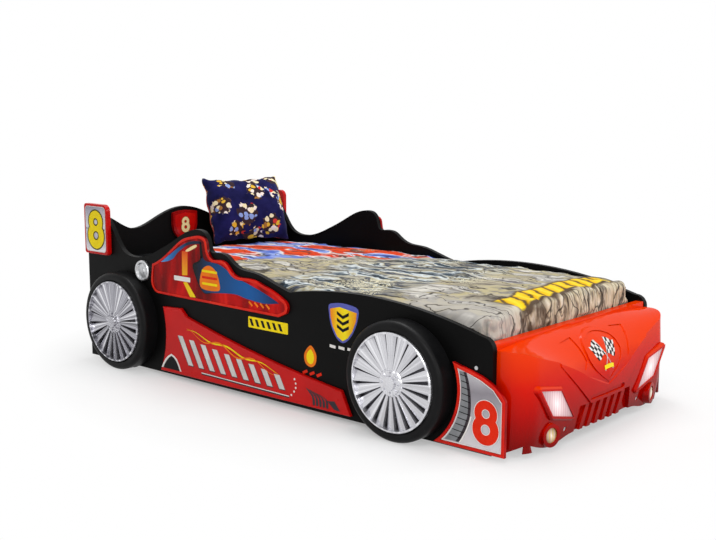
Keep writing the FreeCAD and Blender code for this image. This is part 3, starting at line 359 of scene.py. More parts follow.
def eight(centre, tall, grow=0.0):
    """Outline and two holes of a plain round figure eight."""
    top_r, low_r = 0.298 * tall, 0.344 * tall
    top = centre[1] + tall / 2 - top_r
    low = centre[1] - tall / 2 + low_r
    gap = top - low
    top_out, low_out = top_r + grow, low_r + grow
    waist = (low_out ** 2 - top_out ** 2 + gap ** 2) / (2 * gap)
    low_turn = math.acos(waist / low_out)
    top_turn = math.acos((gap - waist) / top_out)
    outline = []
    steps = 28
    for i in range(steps + 1):
        turn = low_turn + (2 * math.pi - 2 * low_turn) * i / steps
        outline.append((centre[0] + low_out * math.sin(turn), low + low_out * math.cos(turn)))
    for i in range(1, steps):
        turn = math.pi + top_turn + (2 * math.pi - 2 * top_turn) * i / steps
        outline.append((centre[0] + top_out * math.sin(turn), top + top_out * math.cos(turn)))
    return [outline, circle((centre[0], top), 0.103 * tall - grow),
            circle((centre[0], low), 0.12 * tall - grow)]


def rounded(low, high, radius, steps=6):
    """Rectangle with rounded corners, from its low and high corners."""
    left, right = low[0] + radius, high[0] - radius
    foot, top = low[1] + radius, high[1] - radius
    out = []
    for quarter, (cx, cy) in enumerate(((right, top), (left, top), (left, foot), (right, foot))):
        for i in range(steps + 1):
            turn = math.radians(90 * quarter + 90 * i / steps)
            out.append((cx + radius * math.cos(turn), cy + radius * math.sin(turn)))
    return out


def bar(start, end, width):
    """Straight stroke from start to end."""
    run = Vector(end) - Vector(start)
    side = Vector((-run.y, run.x)).normalized() * width / 2
    return [tuple(Vector(start) + side), tuple(Vector(start) - side), tuple(Vector(end) - side),
            tuple(Vector(end) + side)]


# ---- Materials ---------------------------------------------------------------------------


def graded_ink(name, axis, low, high, stops, rough=0.22, **sockets):
    """Printed ink that runs through tints along an axis, between two places in metres."""
    r = Recipe(name, Coat_Weight=0.12, Coat_Roughness=0.12, Specular_IOR_Level=0.1, **sockets)
    value = r.split(r.place)[axis]
    level = r.plus(r.level(value, low, high), r.wobble(9.0, 0.25))
    r.into(r.ramp(level, stops), "Base Color")
    r.into(r.spread(r.noise(40.0, 5.0), rough - 0.05, rough + 0.08), "Roughness")
    r.bump(r.noise(900.0, 2.0), 0.04, 0.0003)
    return r.material


def cockpit_red(name):
    """Bright red border round a darker field with painted light along its flutes."""
    r = Recipe(name, Coat_Weight=0.06, Coat_Roughness=0.1, Specular_IOR_Level=0.06)
    flutes = r.noise(5.0, 2.0, r.stretched((1.0, 2.6, 0.8)), 0.6)
    field = r.ramp(flutes, [(0.34, "#6d0203"), (0.48, "#a80605"), (0.58, "#c80c08"), (0.68, "#e8281a")])
    edge = r.ramp(r.noise(12.0), [(0.3, "#c41410"), (0.7, "#e2301e")])
    out = r.math("ABSOLUTE", r.split(r.place)[0])
    raised = r.level(out, (FIELD_FACE + 0.4) / 1000, (FIELD_FACE + 1.1) / 1000)
    r.into(r.mix(raised, field, edge), "Base Color")
    r.into(r.spread(r.noise(40.0, 5.0), 0.2, 0.32), "Roughness")
    r.bump(r.noise(900.0, 2.0), 0.04, 0.0003)
    return r.material


black_board = coated("black_satin_board", "#070707", 0.45, 0.3, 6.0, Specular_IOR_Level=0.07)
red_board = coated("red_print_board", "#c80604", 0.3, 0.14, 7.0, Coat_Weight=0.15, Coat_Roughness=0.12)
shield_red = coated("shield_red", "#9c0808", 0.3, 0.12, 10.0, Coat_Weight=0.4)
field_red = coated("shield_field_red", "#c4100c", 0.3, 0.12, 10.0, Coat_Weight=0.4)
border_red = cockpit_red("border_red")
dark_edge = coated("print_black", "#0b0a0b", 0.34, 0.2, 12.0)
print_white = coated("print_white", "#e9e6e2", 0.3, 0.05, 12.0)
print_silver = coated("print_silver", "#cfcdca", 0.24, 0.1, 22.0, Metallic=0.25)
print_yellow = coated("print_yellow", "#f7dc12", 0.3, 0.06, 12.0)
print_olive = coated("print_olive", "#4a4810", 0.3, 0.08, 12.0)
print_cream = coated("print_cream", "#f3dca0", 0.3, 0.08, 12.0)
numeral_red = coated("print_numeral_red", "#e02808", 0.28, 0.08, 12.0)
rib_grey = coated("print_rib_grey", "#3a3338", 0.4, 0.12, 14.0)
rib_silver = coated("print_rib_silver", "#85878a", 0.3, 0.16, 30.0, Metallic=0.2)
print_violet = coated("print_violet", "#5a60b0", 0.3, 0.14, 16.0)
flame_orange = coated("print_orange", "#f07a16", 0.3, 0.14, 16.0)
sky_band = graded_ink("print_sky_band", 1, station_level(1120), station_level(1370),
                      [(0.0, "#14102c"), (0.45, "#17243e"), (0.8, "#2b6cb4"), (1.0, "#58a2e0")])
window_blue = graded_ink("print_window_blue", 1, station_level(800), station_level(1200),
                         [(0.0, "#0a2a5c"), (0.35, "#0658a0"), (0.7, "#06447c"), (0.92, "#04142e"),
                          (1.0, "#030710")])
stripe_yellow = graded_ink("print_stripe", 2, 0.29, 0.46,
                           [(0.0, "#f4d808"), (0.35, "#f2c80c"), (0.7, "#f08a14"), (1.0, "#e04a10")])
plate_silver = graded_ink("print_plate_silver", 2, 0.40, 0.58,
                          [(0.0, "#f3f2f4"), (0.35, "#b9b6c2"), (0.6, "#dcdbe2"), (1.0, "#8f8c9c")],
                          0.2, Metallic=0.2)
shield_yellow = graded_ink("print_shield_yellow", 1, station_level(480), station_level(592),
                           [(0.0, "#f08a10"), (0.4, "#fbe414"), (0.7, "#f9c80e"), (1.0, "#ee6f10")])
fender_silver = graded_ink("print_fender_silver", 2, 0.02, 0.24,
                           [(0.0, "#dcd9dc"), (0.4, "#b9b5ba"), (0.75, "#8d888f"), (1.0, "#c9c6ca")],
                           0.22, Metallic=0.25)
# Nose red: the darker low stops are painted shade and the brighter high stops painted light.
nose_red = height_graded("nose_gloss_red",
                         [(0.0, "#800200"), (0.3, "#ae0500"), (0.6, "#d01400"), (0.95, "#ea3a02")],
                         0.02, 0.33, 0.16,
                         Coat_Weight=0.45, Coat_Roughness=0.03, Coat_IOR=1.32, Specular_IOR_Level=0.0)
# Wheel silver, with painted shade in its depths and painted reflections round the axles.
silver = brushed_silver("wheel_silver")
tyre = rubber("tyre_charcoal")
bright_metal = steel("bright_metal", "#c9cacc")
screw_steel = steel("screw_steel", "#8f9194")
wood = pine("pine_slats")
box_black = coated("box_black", "#17181a", 0.42, 0.15, 20.0, 600.0, 0.2)
rocker_red = coated("rocker_red", "#b8130f", 0.3, 0.1, 60.0)
cell_wrap = coated("cell_wrap", "#c8962c", 0.3, 0.14, 40.0, Metallic=0.3)
lamp_green = coated("lamp_board_green", "#1d5a38", 0.4, 0.16, 90.0)
glide_black = coated("glide_black", "#1b1b1c", 0.5, 0.15, 40.0)
head_lens = lit_lens("headlamp_window", LAMP_CENTRE, 95, colour("#cfa4aa"), colour("#a8757d"), 0.5)
fog_lens = lit_lens("foglamp_window", FOG_CENTRE, 26, colour("#dcbd68"), colour("#7c5518"), 0.25)

DRESS = {
    "side_panel_right": black_board, "side_panel_left": black_board, "headboard": black_board,
    "footboard": black_board, "headboard_shield": shield_red, "bumper_shell": nose_red,
    "nose_badge": nose_red, "hub_caps": silver, "bumper_battens": wood, "slat_rail_right": wood,
    "slat_rail_left": wood, "led_boards": lamp_green, "battery_box": box_black,
    "battery_cover": box_black, "battery_cells": cell_wrap, "rocker_switch": rocker_red,
    "panel_screws": bright_metal, "corner_brackets": screw_steel, "floor_glides": glide_black,
}
for side in ("right", "left"):
    for end in ("front", "rear"):
        DRESS["tyre_%s_%s" % (end, side)] = tyre
        DRESS["rim_%s_%s" % (end, side)] = silver
    for name in ("cockpit_board", "fender_board"):
        DRESS["%s_%s" % (name, side)] = border_red
    for name in ("skirt_board", "number_plate"):
        DRESS["%s_%s" % (name, side)] = red_board
    for name in ("headlamp_reflector", "foglamp_reflector", "filler_cap"):
        DRESS["%s_%s" % (name, side)] = bright_metal
    DRESS["headlamp_lens_" + side] = head_lens
    DRESS["foglamp_lens_" + side] = fog_lens
for name in nodes:
    if name.startswith("slat_") and name[5:].isdigit():
        DRESS[name] = wood

for name, material in DRESS.items():
    for slot in nodes[name].material_slots:
        slot.material = material


# ---- Prints on the flanks ----------------------------------------------------------------


def number_plates():
    field = rounded((1676, 409), (1796, 575), 14)
    inner = rounded((1678, 411), (1794, 573), 12)
    flank_print("plate_line", PLATE_FACE, [field], print_white)
    flank_print("plate_field", PLATE_FACE, [inner], plate_silver, 2)
    centre = (1733, 490)
    flank_print("plate_eight_line", PLATE_FACE, eight(centre, 139, 5.0), print_olive, 3)
    flank_print("plate_eight", PLATE_FACE, eight(centre, 139), print_yellow, 4)
    for station in (1684, 1788):
        flank_print("plate_cap_%d" % station, PLATE_FACE, [circle((station, 492), 3.2, 16)], rib_grey, 3)


def cockpit_prints():
    wedge = loop_through([(1382, 408), (1329, 434), (1298, 453), (1267, 470), (1237, 484), (1202, 493),
                          (1168, 495), (1160, 488), (1217, 480), (1247, 468), (1283, 446), (1304, 426),
                          (1325, 416), (1356, 408)], 4)
    window = loop_through([(1155, 443), (1136, 432), (1079, 428), (1042, 416), (1002, 395), (934, 378),
                           (856, 355), (800, 334), (806, 330), (865, 323), (944, 329), (1003, 337),
                           (1111, 328), (1149, 325), (1172, 349), (1196, 392), (1198, 413),
                           (1170, 425)], 5)
    shadow = loop_through([(1160, 446), (1150, 424), (1120, 418), (1108, 372), (1098, 338), (1111, 328),
                           (1149, 322), (1176, 347), (1200, 390), (1203, 416), (1174, 429)], 5)
    neck = [(1160, 492), (1168, 492), (1166, 440), (1150, 440)]
    flank_print("cockpit_wedge", FIELD_FACE, [wedge], sky_band)
    flank_print("cockpit_neck", FIELD_FACE, [neck], dark_edge)
    flank_print("cockpit_shadow", FIELD_FACE, [shadow], dark_edge)
    flank_print("cockpit_window", FIELD_FACE, [window], window_blue, 2)
    stripe = [(1260, 454), (1230, 457), (1234, 374), (1261, 372)]
    stripe_foot = [(1256, 348), (1236, 350), (1192, 303), (1222, 301)]
    flank_print("cockpit_stripe", FIELD_FACE, [stripe], stripe_yellow)
    flank_print("cockpit_stripe_foot", FIELD_FACE, [stripe_foot], stripe_yellow)
    flank_print("cockpit_bar", FIELD_FACE, [rounded((1219, 351), (1304, 367), 3)], print_white, 2)
    gleam = loop_through([(1240, 458), (1212, 473), (1188, 482), (1182, 476), (1203, 465),
                          (1230, 455)], 4)
    flank_print("cockpit_gleam", FIELD_FACE, [gleam], print_cream, 2)
    seat = loop_through([(1160, 338), (1168, 372), (1152, 406), (1120, 418), (1088, 402), (1072, 366),
                         (1078, 338)], 4)
    flank_print("cockpit_seat", FIELD_FACE, [seat], flame_orange, 3)
    for i in range(3):
        rung = 352 + i * 21
        flank_print("cockpit_seat_band_%d" % i, FIELD_FACE, [rounded((1082, rung), (1158, rung + 8), 3)],
                    (print_yellow, numeral_red, print_yellow)[i], 4)
    for i in range(4):
        start = 838 + i * 26
        flank_print("cockpit_dash_%d" % i, FIELD_FACE, [bar((start, 309), (start + 16, 322), 7)],
                    flame_orange, 3)


def on_arch(radius, height):
    """Point on a circle round the front axle, on the nose's side."""
    return (FRONT_AXLE - math.sqrt(radius ** 2 - (height - AXLE_HEIGHT) ** 2), height)


def band_reach(height):
    """Outer radius of the fender's ribbed band, which narrows towards its top."""
    return 246 - 0.13 * max(0, height - 110)


def fender_outline(inset):
    """Fender board's field, that much inside the board's edge."""
    foot, top, nose_end = 18, 255, -48
    arch = [on_arch(193 + inset, foot + inset + (top - foot - 2.1 * inset) * i / 12) for i in range(13)]
    return arch + [(27 + inset * 0.3, 228 - inset), (-12 + inset * 0.3, 209 - inset),
                   (nose_end + inset, 172 - inset * 0.5), (nose_end + inset, foot + inset)]


def fender_prints():
    flank_print("fender_line", FIELD_FACE, [fender_outline(10)], print_white)
    flank_print("fender_field", FIELD_FACE, [fender_outline(12.5)], fender_silver, 2)
    heights = [33 + i * 8 for i in range(26)]
    foot = [on_arch(band_reach(h) + 4.5, h) for h in heights[:11]]
    foot += [on_arch(band_reach(h), h) for h in reversed(heights[:11])]
    flank_print("fender_gleam", FIELD_FACE, [foot], print_white, 3)
    back = [on_arch(208, h) for h in reversed(heights)]
    for word, inset, tint, layer in (("band", 0, rib_grey, 3), ("light", 9, rib_silver, 4)):
        edge = [on_arch(band_reach(h) - inset, h) for h in heights]
        flank_print("fender_" + word, FIELD_FACE, [edge + back], tint, layer)
    for i in range(11):
        height = 48 + i * 17.5
        rib = bar(on_arch(209, height + 2), on_arch(band_reach(height) - 1, height - 2), 2.4)
        flank_print("fender_rib_%d" % i, FIELD_FACE, [rib], dark_edge, 5)
    flank_print("fender_eight_line", FIELD_FACE, eight((12, 105), 124, 2.0), print_white, 6)
    flank_print("fender_eight", FIELD_FACE, eight((12, 105), 124), numeral_red, 7)


def skirt_prints():
    arch = [(1381, 34), (1376, 44), (1359, 67), (1343, 80), (1327, 89), (1311, 84), (1296, 74),
            (1284, 55), (1274, 34)]
    hollow = [(1371, 34), (1366, 44), (1352, 62), (1339, 74), (1326, 82), (1312, 77), (1301, 67),
              (1291, 53), (1282, 34)]
    flank_print("skirt_arch_line", BOARD_FACE, [arch], print_white)
    flank_print("skirt_arch", BOARD_FACE, [hollow], dark_edge, 2)
    flank_print("skirt_pinstripe_dark", BOARD_FACE, [bar((1168, 46), (752, 41), 8)], rib_grey)
    flank_print("skirt_pinstripe", BOARD_FACE, [bar((1168, 48), (752, 43), 3)], print_white, 2)
    for i, centre in enumerate([(728, 102), (723, 89), (723, 75), (730, 62), (742, 49)]):
        flank_print("skirt_dot_%d" % i, BOARD_FACE, [circle(centre, 3.6, 14)], print_white)
    speed_stripes()
    vents()


def speed_stripes():
    """Row of slanted bars that shrink towards the nose, under two curling pinstripes."""
    for i in range(9):
        foot = 1235 - i * 55
        low = 64 - i * 0.5
        high = low + 96 - i * 6.5
        slant = (high - low) * 0.55
        dark = [(foot + 2, low - 3), (foot - 28, low - 3), (foot - 28 + slant, high - 3),
                (foot + 2 + slant, high - 3)]
        light = [(foot, low), (foot - 25, low), (foot - 25 + slant, high), (foot + slant, high)]
        flank_print("skirt_bar_shade_%d" % i, BOARD_FACE, [dark], rib_grey)
        flank_print("skirt_bar_%d" % i, BOARD_FACE, [light], print_silver, 2)
    for k, tint in enumerate((print_yellow, flame_orange)):
        upper, lower = [], []
        for i in range(25):
            t = i / 24
            station = 1240 - t * 440
            middle = 186 - t * 74 + (6 + 5 * k) * math.sin(t * 17 + 1.4 * k) - 5 * k
            half = 2.6 * math.sin(math.pi * t) + 0.3
            upper.append((station, middle + half))
            lower.append((station, middle - half))
        flank_print("skirt_curl_%d" % k, BOARD_FACE, [upper + lower[::-1]], tint, 3 + k)


def vents():
    for i in range(5):
        foot = 650 - i * 14
        slash = loop_through([(foot, 36), (foot - 9, 36), (foot - 7, 56), (foot + 8, 74 - i * 2),
                              (foot + 30, 84 - i * 3), (foot + 4, 60)], 4)
        flank_print("skirt_vent_%d" % i, BOARD_FACE, [slash], rib_grey)
    flank_print("skirt_vent_wedge", BOARD_FACE, [[(590, 58), (560, 62), (536, 34), (562, 36)]], rib_grey)


def stickers():
    plate = rounded((767, 235), (947, 271), 4)
    flank_print("sticker_plate", PANEL_FACE, [plate], print_yellow)
    for i in range(6):
        start = 790 + i * 26
        flank_print("sticker_stripe_%d" % i, PANEL_FACE, [[(start, 242), (start + 12, 242),
                    (start + 22, 264), (start + 10, 264)]], dark_edge, 2)
    shield = [(593, 352), (570, 360), (549, 363), (511, 362), (476, 352), (479, 316), (495, 280),
              (515, 255), (537, 243), (562, 255), (582, 286), (591, 318)]
    inner = [(588, 342), (549, 351), (481, 341), (484, 316), (499, 283), (517, 260), (537, 249),
             (559, 260), (578, 290), (586, 318)]
    flank_print("sticker_shield", PANEL_FACE, [loop_through(shield, 3)], print_violet)
    flank_print("sticker_shield_field", PANEL_FACE, [inner], shield_yellow, 2)
    for i in range(3):
        low = 276 + i * 20
        tick = bar((590 - i * 36, 228), (566 - i * 36, 226), 9)
        dash = bar((704 - i * 30, 124), (684 - i * 30, 134), 9)
        chevron = [(512, low + 12), (536, low), (560, low + 12), (560, low + 22), (536, low + 10),
                   (512, low + 22)]
        flank_print("sticker_tick_%d" % i, PANEL_FACE, [tick], print_white)
        flank_print("sticker_dash_%d" % i, PANEL_FACE, [dash], numeral_red)
        flank_print("sticker_chevron_%d" % i, PANEL_FACE, [chevron], dark_edge, 3)
    drop = loop_through([(669, 216), (646, 190), (650, 160), (670, 148), (692, 158), (696, 188)], 6)
    core = loop_through([(669, 204), (656, 186), (658, 166), (670, 157), (684, 165), (686, 186)], 6)
    flank_print("sticker_drop", PANEL_FACE, [drop], flame_orange)
    flank_print("sticker_drop_core", PANEL_FACE, [core], print_yellow, 2)


def headboard_prints():
    inner = [(-52, 508), (0, 516), (52, 508), (52, 472), (38, 436), (0, 409), (-38, 436), (-52, 472)]
    for word, loops, tint, layer in (("field", [inner], field_red, 1),
                                     ("eight_line", eight((0, 467), 62, 1.6), print_olive, 2),
                                     ("eight", eight((0, 467), 62), print_cream, 3)):
        flat_print("print_shield_" + word, on_front(SHIELD_STATION - layer * PRINT), loops, tint)


number_plates()
cockpit_prints()
fender_prints()
skirt_prints()
stickers()
headboard_prints()


# ---- Nose badge --------------------------------------------------------------------------


def skin(node):
    """Surface of a CAD node, for laying prints on it."""
    return BVHTree.FromObject(nodes[node], bpy.context.evaluated_depsgraph_get())


def laid(surface, x, height, layer):
    """Point on the nose's skin in front view, a print's layer above it."""
    hit = surface.ray_cast(at(x, -400, height), Vector((0, 1, 0)))[0]
    return hit - Vector((0, layer * PRINT / 1000, 0))


def strip(name, points, material):
    """Row of faces through pairs of points."""
    rows = len(points) // 2 - 1
    faces = [(2 * k, 2 * k + 1, 2 * k + 3, 2 * k + 2) for k in range(rows)]
    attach(add_mesh(name, points, faces, [material]), "bed_frame")


def flag(surface, side):
    """Waving chequered flag on its pole; side is -1 or 1."""
    word = "right" if side < 0 else "left"
    rows, columns, fine = 4, 5, 3
    pole_foot = Vector((side * -22, 188))
    pole_head = Vector((side * 26, 272))
    along = (pole_head - pole_foot).normalized()
    verts, faces, tints = [], [], []
    nu, nv = columns * fine, rows * fine
    for j in range(nv + 1):
        for i in range(nu + 1):
            u, v = i / nu, j / nv
            wave = Vector((side * u * 44, -u * 10 + 3.5 * math.sin(u * 6)))
            spot = pole_head - along * (v * 46) + wave
            verts.append(laid(surface, spot.x, spot.y, 2))
    for j in range(nv):
        for i in range(nu):
            a = j * (nu + 1) + i
            faces.append((a, a + 1, a + nu + 2, a + nu + 1))
            tints.append((i // fine + j // fine) % 2)
    made = add_mesh("print_flag_" + word, verts, faces, [print_white, dark_edge])
    for face, tint in zip(made.data.polygons, tints):
        face.material_index = tint
    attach(made, "bed_frame")
    pole = []
    for k in range(9):
        spot = pole_foot.lerp(pole_head + along * 4, k / 8)
        for edge in (-1.3, 1.3):
            pole.append(laid(surface, spot.x + edge, spot.y, 3))
    strip("print_pole_" + word, pole, print_silver)


def badge():
    surface = skin("nose_badge")
    for side in (-1, 1):
        flag(surface, side)
    ribbon = []
    for k in range(11):
        x = -26 + 5.2 * k
        middle = 200 - 0.004 * x * x
        for edge in (-6, 6):
            ribbon.append(laid(surface, x, middle + edge, 5))
    strip("print_badge_ribbon", ribbon, print_yellow)


badge()


# ---- Bedding -----------------------------------------------------------------------------


def soft_copy(name, node, voxel, material):
    """Evenly meshed copy of a CAD solid, which it replaces."""
    source = nodes[node]
    made = bpy.data.objects.new(name, source.data.copy())
    scene.collection.objects.link(made)
    made.data.materials.clear()
    remesh = made.modifiers.new("Remesh", "REMESH")
    remesh.mode = "VOXEL"
    remesh.voxel_size = voxel
    depsgraph = bpy.context.evaluated_depsgraph_get()
    made.data = bpy.data.meshes.new_from_object(made.evaluated_get(depsgraph))
    made.modifiers.clear()
    made.data.materials.append(material)
    made.data.shade_smooth()
    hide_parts(node)
    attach(made, "bed_frame")
    return made


def smoothed(made):
    """One round of subdivision."""
    finer = made.modifiers.new("Smooth", "SUBSURF")
    finer.levels = 1
    finer.render_levels = 1


def puffed(made, pressure, cap):
    """Lets air pressure relax the cloth, keeps each point near its place and smooths once."""
    rest = [v.co.copy() for v in made.data.vertices]
    cloth = made.modifiers.new("Cloth", "CLOTH")
    cloth.settings.quality = 4
    cloth.settings.mass = 0.3
    cloth.settings.tension_stiffness = 12
    cloth.settings.compression_stiffness = 12
    cloth.settings.bending_stiffness = 0.4
    cloth.settings.use_pressure = True
    cloth.settings.uniform_pressure_force = pressure
    cloth.settings.effector_weights.gravity = 0
    for step in range(1, SETTLE_FRAMES + 1):
        scene.frame_set(step)
    depsgraph = bpy.context.evaluated_depsgraph_get()
    relaxed = bpy.data.meshes.new_from_object(made.evaluated_get(depsgraph))
    made.modifiers.clear()
    made.data = relaxed
    flat = []
    for vertex, start in zip(relaxed.vertices, rest):
        move = vertex.co - start
        flat.extend(start + move * min(1.0, cap / max(cap, move.length)))
    relaxed.vertices.foreach_set("co", flat)
    scene.frame_set(1)
    smoothed(made)


def reshaped(made, mover):
    """Moves every point to mover(place, normal), with all normals taken before the first move."""
    before = [(v.co.copy(), v.normal.copy()) for v in made.data.vertices]
    flat = []
    for place, normal in before:
        flat.extend(mover(place, normal))
    made.data.vertices.foreach_set("co", flat)
    made.data.update()


def ramped(value, low, high):
    """0 below low, 1 above high, smooth between."""
    t = min(1.0, max(0.0, (value - low) / (high - low)))
    return t * t * (3 - 2 * t)


def pleat(place, seed):
    """Irregular gathered folds along one direction, from -1 to 1."""
    drift = 0.9 * noise.noise(Vector((place * 6, seed, 0.3)))
    return (0.66 * math.sin(place * 66 + 9 * drift + seed)
            + 0.34 * math.sin(place * 127 + 13 * drift + 2 * seed))


def crumple_spread(made):
    """Gathered folds over the foot end and soft creases over the top of the bedspread."""
    lo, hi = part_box("bedspread")

    def mover(p, n):
        outer = p.z > hi.z - 0.028 or p.y < lo.y + 0.012 or abs(p.x) > hi.x - 0.012
        if not outer:
            return p
        drop = ramped(lo.y + 0.05 - p.y, 0.0, 0.045)
        rolled = ramped(lo.y + 0.17 - p.y, 0.0, 0.15)
        corner = ramped(abs(p.x), 0.3, 0.4)
        gather = pleat(p.x, 1.7) * (0.0072 * drop + 0.0028 * rolled * (1 - drop)) * (1 - 0.4 * corner)
        lobe = corner * rolled * 0.009 * pleat(p.y * 0.7 + p.z * 0.9, 3.1)
        crease = 0.0034 * noise.noise(Vector((p.x * 9, p.y * 4.2, 1.0)))
        crease += 0.0022 * noise.noise(Vector((p.x * 22 + 3, p.y * 9, 2.0)))
        ridge = 1 - abs(noise.noise(Vector((p.x * 5.5 + 0.6 * p.y, p.y * 7.5, 5.0)))) * 2
        crease += 0.003 * max(0.0, ridge) ** 5
        side = ramped(abs(p.x), 0.33, 0.405) * 0.003 * pleat(p.y * 0.55, 0.4)
        sag = -0.010 * math.exp(-((p.x - 0.2) / 0.2) ** 2 - ((p.y - 0.76) / 0.12) ** 2)
        return p + n * (gather + lobe + crease * (1 - drop) + side) + Vector((0, 0, sag * max(0, n.z)))

    reshaped(made, mover)


def bent_by(r, vector, scale, detail, reach):
    """Vector pushed about by a soft noise."""
    warp = r.node("TexNoise", {"Vector": vector, "Scale": scale, "Detail": detail}).outputs["Color"]
    push = r.node("VectorMath", {0: warp, 1: reach}, operation="MULTIPLY").outputs[0]
    return r.node("VectorMath", {0: vector, 1: push}, operation="ADD").outputs[0]


def brushed_grounds(r, bent):
    """Three grounds of long brush strokes: sand, slate, and warm blue and orange."""
    sand = r.ramp(r.noise(2.6, 6.0, r.stretched((4.2, 1.5, 1.0), bent), 0.7),
                  [(0.3, "#4a443e"), (0.38, "#8c8476"), (0.45, "#b9b09a"), (0.5, "#c4b88e"),
                   (0.55, "#87837e"), (0.61, "#e0dcd2"), (0.7, "#6c686a")])
    slate = r.ramp(r.noise(2.8, 5.0, r.stretched((6.0, 1.6, 1.0), bent), 0.5),
                   [(0.34, "#14181f"), (0.42, "#40505c"), (0.47, "#dfe6e8"), (0.52, "#b9b090"),
                    (0.56, "#2c3a54"), (0.62, "#b9b4a2")])
    warm = r.ramp(r.noise(1.7, 4.0, r.stretched((5.0, 1.5, 1.0), bent), 0.4),
                  [(0.34, "#22346c"), (0.41, "#4f6cd0"), (0.47, "#9fb2ec"), (0.5, "#f0eee8"),
                   (0.53, "#dc3408"), (0.62, "#e85018"), (0.7, "#a82408")])
    return sand, slate, warm


def yellow_strokes(r, x, y, flat):
    """Row of slanted yellow strokes."""
    slant = r.minus(x, r.times(y, 0.6))
    stroke = r.plus(slant, r.times(r.noise(24.0, 3.0, flat), 0.03))
    beat = r.math("FRACT", r.times(stroke, 17.0))
    return r.ramp(beat, [(0.0, "#4c3a1c"), (0.14, "#f2bd12"), (0.5, "#ffe238"), (0.8, "#f5c81a"),
                         (0.9, "#6b5434")])


def fallen_ground(r):
    """Ground of the part that hangs down at the foot."""
    seams = r.noise(2.4, 5.0, r.stretched((6.5, 1.6, 2.4)), 1.8)
    return r.ramp(seams, [(0.3, "#4a4038"), (0.38, "#b8a88a"), (0.46, "#ddd2b8"), (0.51, "#6e6258"),
                          (0.56, "#c9b99a"), (0.62, "#e4dac6"), (0.7, "#554a40")])


def drawn_lines(r, base, y, flat, bent):
    """Dark contour lines everywhere and pale squiggles in patches."""
    contour = r.noise(2.0, 3.0, r.stretched((4.2, 1.5, 1.4), bent), 0.5)
    contour = r.math("FRACT", r.times(contour, 8.0))
    inked = r.times(r.between(contour, 0.43, 0.58, 0.04), 0.85)
    base = r.mix(inked, base, colour("#2a2422"))
    squiggle = r.math("FRACT", r.times(r.noise(34.0, 3.0, flat), 8.0))
    patch = r.between(r.noise(3.4, 2.0, flat), 0.58, 2.0, 0.03)
    chalk = r.times(patch, r.between(squiggle, 0.35, 0.62, 0.05))
    chalk = r.times(chalk, r.between(y, -0.5, 0.3, 0.05))
    return r.mix(chalk, base, colour("#efe8c6"))


def foot_band(r, base, x, y, flat, ragged):
    """Band of yellow strokes with a brown shadow, across the foot end."""
    reach = r.plus(y, r.plus(r.times(x, -0.06), r.times(ragged, 0.22)))
    span = r.plus(x, r.times(ragged, 0.2))
    shadow = r.times(r.between(reach, -0.806, -0.694, 0.006), r.between(span, -0.25, 0.36, 0.02))
    base = r.mix(shadow, base, colour("#5e4e40"))
    band = r.times(r.between(reach, -0.79, -0.705, 0.004), r.between(span, -0.24, 0.35, 0.01))
    return r.mix(band, base, yellow_strokes(r, x, y, flat))


def painted_cloth(name):
    """Cotton printed with loose brush strokes: sand and slate, with yellow, blue and orange."""
    r = Recipe(name, Roughness=0.9, Sheen_Weight=0.05, Sheen_Roughness=0.5, Specular_IOR_Level=0.05)
    everywhere = 2.0
    x, y, z = r.split(r.place)
    flat = r.node("CombineXYZ", {0: x, 1: r.plus(y, z)}).outputs[0]
    bent = bent_by(r, flat, 5.0, 4.0, (0.16, 0.3, 0.0))
    sand, slate, warm = brushed_grounds(r, bent)
    ragged = r.times(r.minus(r.noise(7.0, 5.0, flat), 0.5), 0.34)
    edge = r.plus(y, ragged)
    base = r.mix(r.between(edge, -0.42, 0.02, 0.03), sand, slate)
    far = r.plus(edge, r.times(x, 0.9))
    base = r.mix(r.between(far, 0.26, everywhere, 0.015), base, warm)
    base = r.mix(r.level(y, -0.76, -0.8), base, fallen_ground(r))
    pale = r.times(r.between(edge, -everywhere, -0.52, 0.05), r.between(x, -everywhere, -0.27, 0.04))
    base = r.mix(r.times(pale, 0.7), base, colour("#bdb9b4"))
    base = drawn_lines(r, base, y, flat, bent)
    r.into(foot_band(r, base, x, y, flat, ragged), "Base Color")
    weave(r)
    return r.material


def weave(r):
    """Fine plain weave with soft slubs."""
    warp = r.node("TexWave", {"Vector": r.place, "Scale": 320.0}, bands_direction="X").outputs["Fac"]
    weft = r.node("TexWave", {"Vector": r.place, "Scale": 320.0}, bands_direction="Y").outputs["Fac"]
    slub = r.noise(240.0, 3.0)
    r.bump(r.plus(r.times(warp, weft), slub), 0.22, 0.0004)


def ticking(name):
    """Quilted white ticking of the mattress."""
    r = Recipe(name, Roughness=0.9, Sheen_Weight=0.2)
    r.into(r.ramp(r.noise(12.0), [(0.3, "#d8d4ca"), (0.7, "#efece4")]), "Base Color")
    cells = r.node("TexVoronoi", {"Vector": r.stretched((1.0, 1.0, 1.6)), "Scale": 14.0})
    r.bump(r.plus(cells.outputs["Distance"], r.times(r.noise(500.0), 0.15)), 0.5, 0.004)
    return r.material


